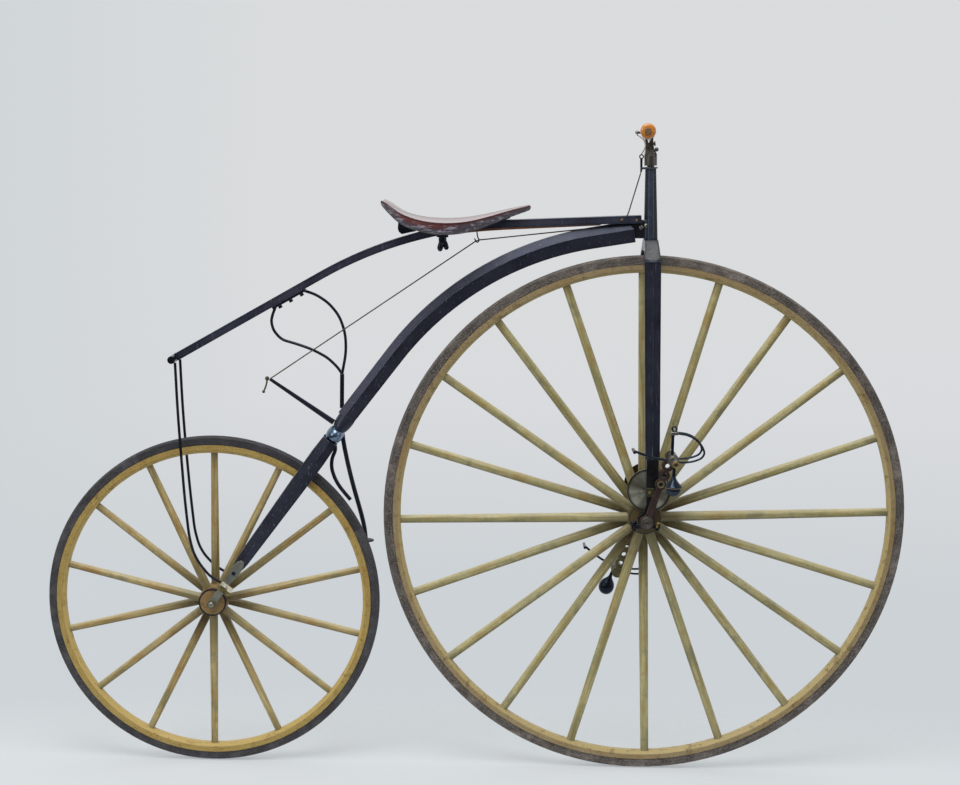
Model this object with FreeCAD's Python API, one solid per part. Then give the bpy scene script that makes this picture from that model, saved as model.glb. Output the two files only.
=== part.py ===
import FreeCAD, Part
import math
import os

# Wooden-wheeled penny farthing with a cord brake: a high driven front wheel, a small rear wheel,
# a curved iron backbone, and a saddle on a long spring bar. Millimetres. +X is forward, +Z is up,
# and -Y is the rider's right. All sizes are drawn from the ground under the front axle, and each
# piece is moved at the end so that the origin is the point of the saddle where the rider sits.

V = FreeCAD.Vector
Y_AXIS = V(0, 1, 0)
Z_AXIS = V(0, 0, 1)

# ---- wheels ----
FRONT_RADIUS = 550.0
REAR_RADIUS = 352.0
WHEEL_GAP = 6.0              # between the two tyres
TYRE_WIDTH = 25.0
TREAD_CROWN = 3.0            # how far the middle of the tread stands above its edges
RIM_WIDTH = 28.0
RIM_CHAMFER = 6.0
FRONT_TYRE_DEPTH = 20.0
FRONT_RIM_DEPTH = 16.0
FRONT_SPOKES = 20
FRONT_SPOKE_TURN = -1.9      # degrees from level, as the wheel stands
FRONT_HUB_HALF = 34.0
FRONT_HUB_RADIUS = 38.5
FRONT_FACE_RADIUS = 33.5
REAR_TYRE_DEPTH = 18.5
REAR_RIM_DEPTH = 17.0
REAR_SPOKES = 14
REAR_SPOKE_TURN = 90.0
REAR_HUB_HALF = 33.0
REAR_HUB_RADIUS = 31.5
REAR_FACE_RADIUS = 29.2
BAND_LENGTH = 8.0
BAND_THICKNESS = 3.2
FRONT_SPOKE_ROOT = 10.3       # a spoke's radius at the hub
FRONT_SPOKE_TIP = 8.6        # and at the rim
REAR_SPOKE_ROOT = 9.0
REAR_SPOKE_TIP = 7.3
SPOKE_STAGGER = 14.0         # alternate spokes start this far to each side of the hub's middle
SPOKE_FOOT = 22.0            # parallel foot of a spoke under the rim
FRONT_AXLE_RADIUS = 8.0
REAR_AXLE_RADIUS = 6.0
RUNNING = 0.05               # radial clearance of a turning fit
SEAT_GAP = 0.3               # gap left between pieces that lie on each other without a fit

WHEELBASE = FRONT_RADIUS + REAR_RADIUS + WHEEL_GAP
WHEEL_TOP = 2 * FRONT_RADIUS
FRONT_AXLE_AT = (0.0, FRONT_RADIUS)
REAR_AXLE_AT = (-WHEELBASE, REAR_RADIUS)

# ---- steering head: the axis leans back and passes a little in front of the axle ----
HEAD_RAKE = 1.65             # degrees
AXIS_AHEAD = 14.0
BLADE_FOOT = 122.0           # above the axle, along the blade
CROWN_CLEARANCE = 10.0       # between the tyre and the crown's arch
ARCH_THICKNESS = 22.0
CROWN_SHOULDER = 42.0        # the crown's side faces slope in over this height
CROWN_TOP_WIDTH = 27.6
CROWN_TOP_HALF = 27.0
HEAD_LENGTH = 147.0
FLANGE_HEIGHT = 2.5
COLLAR_GAP = 3.0
COLLAR_HEIGHT = 21.5
BAR_RISE = 46.0
STEM_RADIUS = 7.5
HEAD_FOOT_WIDTH = 28.0
HEAD_TOP_WIDTH = 22.0
FLANGE_RADIUS = 14.5
COLLAR_RADIUS = 13.0
BLADE_INSIDE = 44.0          # from the middle plane to the blade's inner side
BLADE_THICKNESS = 18.0
BLADE_WIDTH_TOP = 34.0
BLADE_WIDTH_FOOT = 30.0
FORK_END_THICKNESS = 14.0
FORK_END_WIDTH = 25.0
AXLE_EYE_RADIUS = 17.0
CAP_HALF = 30.0              # bearing cap under the axle
CAP_HEIGHT = 9.0

ARCH_BOTTOM = FRONT_RADIUS + CROWN_CLEARANCE       # heights along the steering axis, above the axle
CROWN_TOP = ARCH_BOTTOM + ARCH_THICKNESS
CROWN_BOTTOM = CROWN_TOP - CROWN_SHOULDER
HEAD_TOP = CROWN_TOP + HEAD_LENGTH
COLLAR_BOTTOM = HEAD_TOP + FLANGE_HEIGHT + COLLAR_GAP
COLLAR_TOP = COLLAR_BOTTOM + COLLAR_HEIGHT
BAR_HEIGHT = COLLAR_TOP + BAR_RISE

# ---- discs beside the front hub ----
DISC_RADIUS = 46.5
DISC_ABOVE_AXLE = 61.0
DISC_AHEAD = 6.0
DISC_THICKNESS = 1.6
DISC_DISH = 3.0
NUT_BOX = 18.0
NUT_BOX_THICKNESS = 4.0

# ---- handlebar, turned a little in its clamp ----
BAR_HALF = 285.0
BAR_RADIUS = 7.0
BAR_SKEW = 5.0               # degrees
BAR_BEHIND = 5.0
GRIP_LENGTH = 118.0
GRIP_RADIUS = 15.3
CAP_RADIUS = 6.0
CORD_PIN_REACH = 23.0
CORD_PIN_RADIUS = 2.2
CORD_KNOB_RADIUS = 3.4

# ---- cranks and pedals ----
CRANK_LENGTH = 147.0
CRANK_ANGLE = 18.4           # degrees forward of straight up, on the right side
CRANK_INSIDE = 67.0
CRANK_THICKNESS = 12.0
CRANK_FOOT_WIDTH = 13.5
CRANK_WIDTH = 12.5
CRANK_EYE_RADIUS = 11.7
CRANK_BOSS_RADIUS = 14.2
CRANK_HOLE_PITCH = 20.5      # spare eyes towards the axle, this far apart
CRANK_HOLE_RADIUS = 5.0
SPINDLE_RADIUS = 5.0
SPINDLE_LENGTH = 92.0
PEDAL_CLEARANCE = 5.5
SLEEVE_RADIUS = 12.0
SLEEVE_LENGTH = 80.0
LEFT_PEDAL_TILT = 20.0       # degrees that the left pedal hangs back, stiff on its spindle
TOE_WIRE_RADIUS = 2.15
TOE_WIRE_SPACING = 46.0
TOE_FRAME_TOP = 57.0         # the bridge, above the spindle
TOE_ROD_RADIUS = 3.1
WEIGHT_RADIUS = 15.2

# ---- backbone: a straight lower run, one long arc over the wheel, and a short run to the head ----
FOOT_OFF_FRONT = 111.3       # its lower end stands this far outside the front tyre
FOOT_OFF_REAR = 131.3        # and this far outside the rear tyre
BACKBONE_SLOPE = 53.2        # degrees
BACKBONE_END_SLOPE = 10.0
BACKBONE_BEND = 96.0         # the arc's radius, less that of the front wheel
BACKBONE_BACK = 38.0         # from the ground point's upright to its front end
BACKBONE_OVER_WHEEL = 48.5
BACKBONE_FOOT_DEPTH = 38.5
BACKBONE_HEAD_DEPTH = 44.5
BACKBONE_WIDTH = 34.0
LUG_HALF = 9.0

# ---- rear fork ----
NECK_BACK = 17.4
NECK_DOWN = 27.8
NECK_WIDTH = 40.0
BEAD_DEPTH = 30.0
BEAD_RUN = 25.0
PLATE_REACH = 112.5          # from the rear axle to the plates' upper ends
PLATE_HOLE_REACH = 80.5
BLADE_TAIL = 40.0            # how far the blades run on behind the plates
PLATE_INSIDE = 38.5
PLATE_THICKNESS = 5.0
PLATE_EYE_RADIUS = 10.0
PLATE_PIN_RADIUS = 4.7
AXLE_NUT_RADIUS = 10.2
AXLE_NUT_HEIGHT = 3.0
AXLE_END = 5.0
CLIP_REACH = 49.5

# ---- spring bar and what carries it ----
EYE_BEHIND = 84.0            # rear eye, behind the rear axle
EYE_OVER_WHEEL = 162.6
SPRING_SLOPE = 30.3          # degrees
SPRING_END_SLOPE = 3.0
SPRING_ARC = 830.0
SPRING_BACK = 24.0
SPRING_OVER_WHEEL = 74.3
SPRING_THICKNESS = 15.6
SPRING_WIDTH = 36.0
STRIP_THICKNESS = 4.2
STRIP_START = 91.0           # in front of the spring bar's bend
STRIP_END_GAP = 83.9         # from the strip's front end to the spring bar's
EYE_RADIUS = 8.0
STAY_Y = 31.0
STAY_MID_Y = 36.0
STAY_RADIUS = 2.9
LOOP_RADIUS = 3.0
POST_RADIUS = 4.5
LOOP_PLATE_BEHIND = 124.5    # its rear end, behind the place where the spring bar starts to bend
LOOP_PLATE_LENGTH = 79.0

# ---- saddle ----
SEAT_AHEAD = 88.0            # the rider's seat, from the spring bar's bend
SEAT_ABOVE = 20.4
PAD_THICKNESS = 13.0
PAN_THICKNESS = 3.0
PAN_INSET = 7.0

# ---- brake, step and cord ----
LEVER_BACK = 142.4           # tip of the lever, from the fork's neck
LEVER_UP = 107.0
LEVER_TIP_RADIUS = 3.4
LEVER_ROOT_RADIUS = 6.0
SPOON_RADIUS = 4.0
STEP_ROD_RADIUS = 6.0
TREAD_LENGTH = 44.0
TREAD_WIDTH = 64.0
TREAD_THICKNESS = 5.0
TREAD_CORNER = 12.0
CORD_SIDE = -6.5             # the cord passes the spring loops on the right
CORD_RADIUS = 1.3
CORD_SLOT = 6.0
CORD_SLOT_BACK = 125.0       # the slot runs this far back and forward from the cord's drop
CORD_SLOT_AHEAD = 8.0
CORD_SLOT_FLOOR = 3.5        # and this far under the cord
CORD_WAY = 2.6               # radius of the cord's way through the iron
CORD_DROP_BACK = 57.0
HOOK_AHEAD = 147.0           # from the spring bar's bend
HOOK_DROP = 21.6
HOOK_WIRE = 1.3
CORD_LIFT = 1.3              # the bend of the cord lies this far under its corner
CORD_SAG = 0.3
CORD_REST = 16.0             # the cord runs straight up to this near the hook
LINK_BEHIND = 18.9           # the arm, behind the steering axis at the flange
LINK_RING = 5.0


# ---------------------------------------------------------------- shape helpers

def leaned(shape):
    """Moves a shape drawn about an upright steering axis onto the real, leaning axis."""
    shape = shape.copy()
    shape.rotate(V(0, 0, 0), Y_AXIS, -HEAD_RAKE)
    shape.translate(V(AXIS_AHEAD, 0, FRONT_RADIUS))
    return shape


def leaned_point(x, height):
    """Where a point of the middle plane, drawn about an upright steering axis, really is."""
    angle = math.radians(HEAD_RAKE)
    px = AXIS_AHEAD + x * math.cos(angle) - height * math.sin(angle)
    return px, FRONT_RADIUS + height * math.cos(angle) + x * math.sin(angle)


def mirrored(shape):
    """The same piece on the other side of the machine."""
    return shape.mirror(V(0, 0, 0), Y_AXIS)


def both_sides(shape):
    return Part.makeCompound([shape, mirrored(shape)])


def cylinder(x, z, radius, y_from, y_to):
    """A round bar across the machine."""
    return Part.makeCylinder(radius, y_to - y_from, V(x, y_from, z), Y_AXIS)


def upright(x, y, radius, z_from, z_to):
    return Part.makeCylinder(radius, z_to - z_from, V(x, y, z_from), Z_AXIS)


def block(x0, x1, y0, y1, z0, z1):
    return Part.makeBox(x1 - x0, y1 - y0, z1 - z0, V(x0, y0, z0))


def slab(points, y_from, y_to):
    """A flat plate: its outline in X and Z, between two values of Y."""
    corners = [V(x, y_from, z) for x, z in points]
    face = Part.Face(Part.makePolygon(corners + corners[:1]))
    return face.extrude(V(0, y_to - y_from, 0))


def prism(points, x_from, x_to):
    """A flat plate across the machine: its outline in Y and Z, between two values of X."""
    corners = [V(x_from, y, z) for y, z in points]
    face = Part.Face(Part.makePolygon(corners + corners[:1]))
    return face.extrude(V(x_to - x_from, 0, 0))


def ring_of(section, x, z):
    """Turns a section, given as wire edges in radius (X) and Y, around a wheel's axle."""
    face = Part.Face(section)
    face.translate(V(x, 0, z))
    return face.revolve(V(x, 0, z), Y_AXIS, 360)


def turned(profile, x, y, z, axis):
    """A turned piece: (radius, distance along its axis) from end to end, both ends on the axis."""
    corners = [V(r, 0, h) for r, h in profile]
    if profile[0][0] > 0:
        corners.insert(0, V(0, 0, profile[0][1]))
    if profile[-1][0] > 0:
        corners.append(V(0, 0, profile[-1][1]))
    face = Part.Face(Part.makePolygon(corners + corners[:1]))
    shape = face.revolve(V(0, 0, 0), Z_AXIS, 360)
    shape.Placement = FreeCAD.Placement(V(x, y, z), FreeCAD.Rotation(Z_AXIS, axis))
    return shape


def bent_path(points):
    """Straight runs joined by tangent arcs, each as large as its two runs allow."""
    corners = [V(*p) for p in points]
    edges = []
    start = corners[0]
    for before, corner, after in zip(corners, corners[1:], corners[2:]):
        into = (corner - before).normalize()
        away = (after - corner).normalize()
        half_turn = into.getAngle(away) / 2
        reach = 0.45 * min((corner - before).Length, (after - corner).Length)
        radius = reach / math.tan(half_turn)
        first = corner - into * reach
        last = corner + away * reach
        towards = (away - into).normalize()
        middle = corner + towards * (radius / math.cos(half_turn) - radius)
        edges.append(Part.LineSegment(start, first).toShape())
        edges.append(Part.Arc(first, middle, last).toShape())
        start = last
    edges.append(Part.LineSegment(start, corners[-1]).toShape())
    return Part.Wire(edges)


def bent_rod(points, radius):
    """A round rod bent through the points."""
    path = bent_path(points)
    along_start = V(*points[1]) - V(*points[0])
    circle = Part.Wire(Part.makeCircle(radius, V(*points[0]), along_start))
    return path.makePipeShell([circle], True, False)


def straight_rod(p, q, radius_p, radius_q=None):
    p = V(*p)
    q = V(*q)
    if radius_q is None or radius_q == radius_p:
        return Part.makeCylinder(radius_p, (q - p).Length, p, q - p)
    return Part.makeCone(radius_p, radius_q, (q - p).Length, p, q - p)


def loft(sections):
    """A solid through closed polygons with equally many corners, flat between them."""
    wires = [Part.makePolygon([V(*p) for p in s] + [V(*s[0])]) for s in sections]
    return Part.makeLoft(wires, True, True)


def ridged_section(centre, across, width, thickness, y):
    """Six corners of a forged blade: flat edges, and a ridge along each side face."""
    cx, cz = centre
    ax, az = across
    table = (
        # share of the width, share of the thickness
        (-0.50, -0.20),
        (-0.50, 0.20),
        (0.0, 0.50),
        (0.50, 0.20),
        (0.50, -0.20),
        (0.0, -0.50),
    )
    return [(cx + ax * w * width, y + t * thickness, cz + az * w * width) for w, t in table]


def eight_corners(centre, across, depth, width):
    """An octagon across a bar: depth in the plane of the frame, width in Y, corners cut off."""
    cx, cz = centre
    ax, az = across
    table = (
        (-0.28, 0.5), (0.28, 0.5), (0.5, 0.28), (0.5, -0.28),
        (0.28, -0.5), (-0.28, -0.5), (-0.5, -0.28), (-0.5, 0.28),
    )
    return [(cx + ax * d * depth, w * width, cz + az * d * depth) for d, w in table]


def along(start, degrees, distance, side=0.0):
    """The point this far from start on a line that rises at this angle, and off to its left."""
    angle = math.radians(degrees)
    x = start[0] + distance * math.cos(angle) - side * math.sin(angle)
    z = start[1] + distance * math.sin(angle) + side * math.cos(angle)
    return (x, z)


def corner_of(start, start_slope, end, end_slope):
    """Where the line that leaves start meets the line that reaches end."""
    rise = math.tan(math.radians(start_slope))
    end_rise = math.tan(math.radians(end_slope))
    x = (end[1] - start[1] + rise * start[0] - end_rise * end[0]) / (rise - end_rise)
    return (x, start[1] + rise * (x - start[0]))


def crossing(centre_a, radius_a, centre_b, radius_b):
    """The upper point at these distances from two centres; centre_a is the one in front."""
    dx = centre_b[0] - centre_a[0]
    dz = centre_b[1] - centre_a[1]
    apart = math.hypot(dx, dz)
    reach = (radius_a ** 2 - radius_b ** 2 + apart ** 2) / (2 * apart)
    height = math.sqrt(radius_a ** 2 - reach ** 2)
    ux = dx / apart
    uz = dz / apart
    return (centre_a[0] + reach * ux + height * uz, centre_a[1] + reach * uz - height * ux)


def bent_line(start, start_slope, end, end_slope, radius):
    """Named points of a bar with two straight runs and one arc that bends down between them."""
    corner = corner_of(start, start_slope, end, end_slope)
    reach = radius * math.tan(math.radians(start_slope - end_slope) / 2)
    bend = along(corner, start_slope, -reach)
    level = along(corner, end_slope, reach)
    centre = along(bend, start_slope, 0, -radius)
    return {"start": start, "corner": corner, "bend": bend, "level": level, "centre": centre, "end": end}


def arc_point(centre, radius, degrees):
    """The point of a downward-bending arc where the arc rises at this angle."""
    angle = math.radians(degrees)
    return (centre[0] - radius * math.sin(angle), centre[1] + radius * math.cos(angle))


# ---------------------------------------------------------------- layout of the frame

BACKBONE_FOOT = crossing(FRONT_AXLE_AT, FRONT_RADIUS + FOOT_OFF_FRONT,
                         REAR_AXLE_AT, REAR_RADIUS + FOOT_OFF_REAR)
BACKBONE_HEAD = (-BACKBONE_BACK, WHEEL_TOP + BACKBONE_OVER_WHEEL)
BACKBONE_ARC = FRONT_RADIUS + BACKBONE_BEND
BACKBONE = bent_line(BACKBONE_FOOT, BACKBONE_SLOPE, BACKBONE_HEAD, BACKBONE_END_SLOPE, BACKBONE_ARC)

BAR_EYE = (REAR_AXLE_AT[0] - EYE_BEHIND, 2 * REAR_RADIUS + EYE_OVER_WHEEL)
BAR_FRONT = (-SPRING_BACK, WHEEL_TOP + SPRING_OVER_WHEEL)
SPRING = bent_line(BAR_EYE, SPRING_SLOPE, BAR_FRONT, SPRING_END_SLOPE, SPRING_ARC)
BEND = SPRING["corner"]
LOOP_PLATE_START = math.dist(BAR_EYE, SPRING["bend"]) - LOOP_PLATE_BEHIND
SEAT = (BEND[0] + SEAT_AHEAD, BEND[1] + SEAT_ABOVE)

FORK_NECK = (BACKBONE_FOOT[0] - NECK_BACK, BACKBONE_FOOT[1] - NECK_DOWN)
REAR_RUN = math.hypot(FORK_NECK[0] - REAR_AXLE_AT[0], FORK_NECK[1] - REAR_AXLE_AT[1])
REAR_SLOPE = math.degrees(math.atan2(FORK_NECK[1] - REAR_AXLE_AT[1], FORK_NECK[0] - REAR_AXLE_AT[0]))
BLADE_LENGTH = REAR_RUN - BEAD_RUN - PLATE_REACH + BLADE_TAIL

LEVER_TIP = (FORK_NECK[0] - LEVER_BACK, FORK_NECK[1] + LEVER_UP)
LEVER_ROOT = (FORK_NECK[0] - 8.6, FORK_NECK[1] + 16.8)
FLANGE_X, FLANGE_Z = leaned_point(0, HEAD_TOP + FLANGE_HEIGHT)
LINK_X = FLANGE_X - LINK_BEHIND
LINK_TOP = FLANGE_Z + 21.0
LINK_FOOT = FLANGE_Z - 13.0
HOOK_X = BEND[0] + HOOK_AHEAD


def under_spring(x, below):
    """Height of a line this far below the spring bar's middle, over the point x."""
    level = SPRING["level"]
    bend = SPRING["bend"]
    centre = SPRING["centre"]
    if x >= level[0]:
        rise = math.tan(math.radians(SPRING_END_SLOPE))
        drop = below / math.cos(math.radians(SPRING_END_SLOPE))
        return level[1] + (x - level[0]) * rise - drop
    if x >= bend[0]:
        radius = SPRING_ARC - below
        return centre[1] + math.sqrt(radius ** 2 - (x - centre[0]) ** 2)
    rise = math.tan(math.radians(SPRING_SLOPE))
    drop = below / math.cos(math.radians(SPRING_SLOPE))
    return bend[1] + (x - bend[0]) * rise - drop


HOOK_SEAT_Z = under_spring(HOOK_X, SPRING_THICKNESS / 2 + STRIP_THICKNESS) - HOOK_DROP
CORD_DROP = (-CORD_DROP_BACK, under_spring(-CORD_DROP_BACK, SPRING_THICKNESS / 2) - 3.0)
CORD_ON_HOOK = (HOOK_X, HOOK_SEAT_Z + HOOK_WIRE + CORD_RADIUS + CORD_LIFT)


# ---------------------------------------------------------------- wheels

def wheel_parts(at, radius, tyre_depth, rim_depth, spokes, first_spoke, spoke_root, spoke_tip, hub_half,
                hub_radius, face_radius, bore):
    """Tyre, rim, spokes, hub and hub bands of one wheel around its axle."""
    x, z = at
    rim_out = radius - tyre_depth
    rim_in = rim_out - rim_depth
    half_tyre = TYRE_WIDTH / 2
    half_rim = RIM_WIDTH / 2

    tread_edge = radius - TREAD_CROWN
    tyre_section = Part.Wire([
        Part.makeLine(V(rim_out, -half_tyre, 0), V(tread_edge, -half_tyre, 0)),
        Part.Arc(V(tread_edge, -half_tyre, 0), V(radius, 0, 0), V(tread_edge, half_tyre, 0)).toShape(),
        Part.makeLine(V(tread_edge, half_tyre, 0), V(rim_out, half_tyre, 0)),
        Part.makeLine(V(rim_out, half_tyre, 0), V(rim_out, -half_tyre, 0)),
    ])
    tyre = ring_of(tyre_section, x, z)

    rim_corners = [
        V(rim_out, -half_rim, 0),
        V(rim_in + RIM_CHAMFER, -half_rim, 0),
        V(rim_in, -half_rim + RIM_CHAMFER, 0),
        V(rim_in, half_rim - RIM_CHAMFER, 0),
        V(rim_in + RIM_CHAMFER, half_rim, 0),
        V(rim_out, half_rim, 0),
    ]
    rim = ring_of(Part.makePolygon(rim_corners + rim_corners[:1]), x, z)

    band_seat = face_radius - BAND_THICKNESS
    shoulder = hub_half - BAND_LENGTH
    hub_corners = [
        V(bore, -hub_half, 0),
        V(band_seat, -hub_half, 0),
        V(band_seat, -shoulder, 0),
        V(face_radius, -shoulder, 0),
        V(hub_radius, -shoulder * 0.62, 0),
        V(hub_radius, shoulder * 0.62, 0),
        V(face_radius, shoulder, 0),
        V(band_seat, shoulder, 0),
        V(band_seat, hub_half, 0),
        V(bore, hub_half, 0),
    ]
    hub = ring_of(Part.makePolygon(hub_corners + hub_corners[:1]), x, z)
    band_corners = [
        V(band_seat, shoulder, 0),
        V(face_radius, shoulder, 0),
        V(face_radius, hub_half, 0),
        V(band_seat, hub_half, 0),
    ]
    band = ring_of(Part.makePolygon(band_corners + band_corners[:1]), x, z)
    bands = both_sides(band)

    # one spoke of each set is trimmed to the hub and the rim, and then copied around
    inside_rim = cylinder(x, z, rim_in, -RIM_WIDTH, RIM_WIDTH)
    turn = 360.0 / spokes
    copies = []
    for index in range(2):
        side = -1 if index == 0 else 1
        root = (x + band_seat, side * SPOKE_STAGGER, z)
        foot = (x + rim_in - SPOKE_FOOT, side * SPOKE_STAGGER * SPOKE_FOOT / rim_in, z)
        tip = (x + rim_out, 0.0, z)
        spoke = straight_rod(root, foot, spoke_root, spoke_tip)
        shank = straight_rod(foot, tip, spoke_tip)
        spoke = spoke.fuse(shank).common(inside_rim).cut(hub).cut(bands)
        for number in range(index, spokes, 2):
            copy = spoke.copy()
            copy.rotate(V(x, 0, z), Y_AXIS, -number * turn + first_spoke)
            copies.append(copy)
    return {"tyre": tyre, "rim": rim, "spokes": Part.makeCompound(copies), "hub": hub, "hub_bands": bands}


# ---------------------------------------------------------------- frame

def make_backbone(spring_bar):
    """Six-sided forged bar: a narrow top and bottom, and a ridge above the middle of each side."""
    halfway = arc_point(BACKBONE["centre"], BACKBONE_ARC, (BACKBONE_SLOPE + BACKBONE_END_SLOPE) / 2)
    at = [V(p[0], 0, p[1]) for p in (BACKBONE["start"], BACKBONE["bend"], halfway, BACKBONE["level"],
                                     BACKBONE["end"])]
    path = Part.Wire([
        Part.makeLine(at[0], at[1]),
        Part.Arc(at[1], at[2], at[3]).toShape(),
        Part.makeLine(at[3], at[4]),
    ])
    table = (
        # share of the width, share of the depth
        (-0.24, 0.50),
        (0.24, 0.50),
        (0.50, 0.12),
        (0.28, -0.50),
        (-0.28, -0.50),
        (-0.50, 0.12),
    )
    sections = []
    for end, slope, depth in ((BACKBONE_FOOT, BACKBONE_SLOPE, BACKBONE_FOOT_DEPTH),
                              (BACKBONE_HEAD, BACKBONE_END_SLOPE, BACKBONE_HEAD_DEPTH)):
        corners = []
        for w, d in table:
            px, pz = along(end, slope, 0, d * depth)
            corners.append(V(px, w * BACKBONE_WIDTH, pz))
        sections.append(Part.makePolygon(corners + corners[:1]))
    bar = path.makePipeShell(sections, True, False)
    # both corners of the front end are cut off, and the spring bar's seat is planed flat
    x, z = BACKBONE_HEAD
    half = BACKBONE_HEAD_DEPTH / 2
    low = slab([(x - 2, z - half - 12), (x + 12, z - half - 12), (x + 12, z - half + 14)],
               -BACKBONE_WIDTH, BACKBONE_WIDTH)
    top = slab([(x - 34, z + half + 8), (x - 30, z + half - 3), (x - 12, z + half - 6),
                (x + 2, z + half - 20), (x + 12, z + half - 20), (x + 12, z + half + 8)],
               -BACKBONE_WIDTH, BACKBONE_WIDTH)
    return bar.cut(low).cut(top).cut(spring_bar)


def make_spring_bar():
    """The long flat bar under the saddle, drawn as its side outline."""
    centre = SPRING["centre"]
    halfway = (SPRING_SLOPE + SPRING_END_SLOPE) / 2
    half = SPRING_THICKNESS / 2
    y = -SPRING_WIDTH / 2
    rows = []
    for side in (half, -half):
        start = along(BAR_EYE, SPRING_SLOPE, EYE_RADIUS - 0.6, side)
        bend = along(SPRING["bend"], SPRING_SLOPE, 0, side)
        middle = arc_point(centre, SPRING_ARC + side, halfway)
        level = along(SPRING["level"], SPRING_END_SLOPE, 0, side)
        front = along(BAR_FRONT, SPRING_END_SLOPE, 0, side)
        rows.append([V(p[0], y, p[1]) for p in (start, bend, middle, level, front)])
    t, b = rows
    outline = Part.Wire([
        Part.makeLine(t[0], t[1]),
        Part.Arc(t[1], t[2], t[3]).toShape(),
        Part.makeLine(t[3], t[4]),
        Part.makeLine(t[4], b[4]),
        Part.makeLine(b[4], b[3]),
        Part.Arc(b[3], b[2], b[1]).toShape(),
        Part.makeLine(b[1], b[0]),
        Part.makeLine(b[0], t[0]),
    ])
    bar = Part.Face(outline).extrude(V(0, SPRING_WIDTH, 0))
    eye = cylinder(BAR_EYE[0], BAR_EYE[1], EYE_RADIUS, -SPRING_WIDTH, SPRING_WIDTH)
    return bar.cut(eye)


def make_spring_strip():
    """A thin second leaf under the middle of the spring bar, tapering to its front end."""
    half = SPRING_THICKNESS / 2 + SEAT_GAP / 2
    y = -SPRING_WIDTH / 2 + 2
    back = BEND[0] + STRIP_START
    front = BAR_FRONT[0] - STRIP_END_GAP
    level = SPRING["level"][0]
    middle = (back + level) / 2
    # distance along X, how far below the bar's underside
    table = (
        (back, 0.0),
        (middle, 0.0),
        (level, 0.0),
        (front, 0.0),
        (front, STRIP_THICKNESS * 0.45),
        (level, STRIP_THICKNESS),
        (middle, STRIP_THICKNESS),
        (back + 20, STRIP_THICKNESS * 0.8),
    )
    tb, tm, tl, tf, lf, ll, lm, lb = [V(x, y, under_spring(x, half + below)) for x, below in table]
    outline = Part.Wire([
        Part.Arc(tb, tm, tl).toShape(),
        Part.makeLine(tl, tf),
        Part.makeLine(tf, lf),
        Part.makeLine(lf, ll),
        Part.Arc(ll, lm, lb).toShape(),
        Part.makeLine(lb, tb),
    ])
    return Part.Face(outline).extrude(V(0, SPRING_WIDTH - 4, 0))


def cord_slot():
    """Room for the brake cord in the backbone's top, open above."""
    slope = math.degrees(math.atan2(CORD_DROP[1] - CORD_ON_HOOK[1], CORD_DROP[0] - CORD_ON_HOOK[0]))
    sides = ((-CORD_SLOT_BACK, -CORD_SLOT_FLOOR), (CORD_SLOT_AHEAD, -CORD_SLOT_FLOOR),
             (CORD_SLOT_AHEAD, BACKBONE_HEAD_DEPTH), (-CORD_SLOT_BACK, BACKBONE_HEAD_DEPTH))
    points = [along(CORD_DROP, slope, s, side) for s, side in sides]
    return slab(points, -CORD_SLOT / 2, CORD_SLOT / 2)


def rear_centre(distance):
    """A point on the line of the rear fork, this far below the neck."""
    return along(FORK_NECK, REAR_SLOPE, -distance)


def make_rear_fork():
    """Neck and polished bead, the two ridged blades, and the plates that hold the rear axle."""
    down = math.radians(REAR_SLOPE + 180)
    across = (-math.sin(down), math.cos(down))
    back = along((0, 0), BACKBONE_SLOPE + 90, 1)
    neck = loft([
        eight_corners(BACKBONE_FOOT, back, BACKBONE_FOOT_DEPTH * 0.9, BACKBONE_WIDTH * 0.9),
        eight_corners(FORK_NECK, across, BEAD_DEPTH, NECK_WIDTH),
    ])
    bead = loft([
        eight_corners(rear_centre(0), across, BEAD_DEPTH, NECK_WIDTH),
        eight_corners(rear_centre(BEAD_RUN / 2), across, BEAD_DEPTH + 3, NECK_WIDTH + 10),
        eight_corners(rear_centre(BEAD_RUN), across, BEAD_DEPTH + 4, NECK_WIDTH + 14),
    ])
    # share of the blade's length, middle of the blade in Y, width, thickness
    stations = (
        (0.0, 17.0, 33.0, 18.0),
        (0.13, 26.0, 36.0, 15.0),
        (0.35, 29.0, 34.0, 14.0),
        (0.89, PLATE_INSIDE - 5.9, 26.0, 12.0),
        (0.93, PLATE_INSIDE - 5.4, 23.0, 11.0),
        (1.0, PLATE_INSIDE - 4.9, 12.0, 10.0),
    )
    sections = []
    for share, y, width, thickness in stations:
        centre = rear_centre(BEAD_RUN + share * BLADE_LENGTH)
        sections.append(ridged_section(centre, across, width, thickness, -y))
    plate = rear_plate()
    hole = along(REAR_AXLE_AT, REAR_SLOPE, PLATE_HOLE_REACH)
    y_out = -PLATE_INSIDE - PLATE_THICKNESS
    pin = cylinder(hole[0], hole[1], PLATE_PIN_RADIUS, y_out + 1.2, -PLATE_INSIDE + 4)
    plate = plate.cut(cylinder(hole[0], hole[1], PLATE_PIN_RADIUS, y_out - 1, 0))
    blade = loft(sections).cut(plate).fuse(pin)
    return neck.fuse(bead), both_sides(blade), both_sides(plate)


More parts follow.
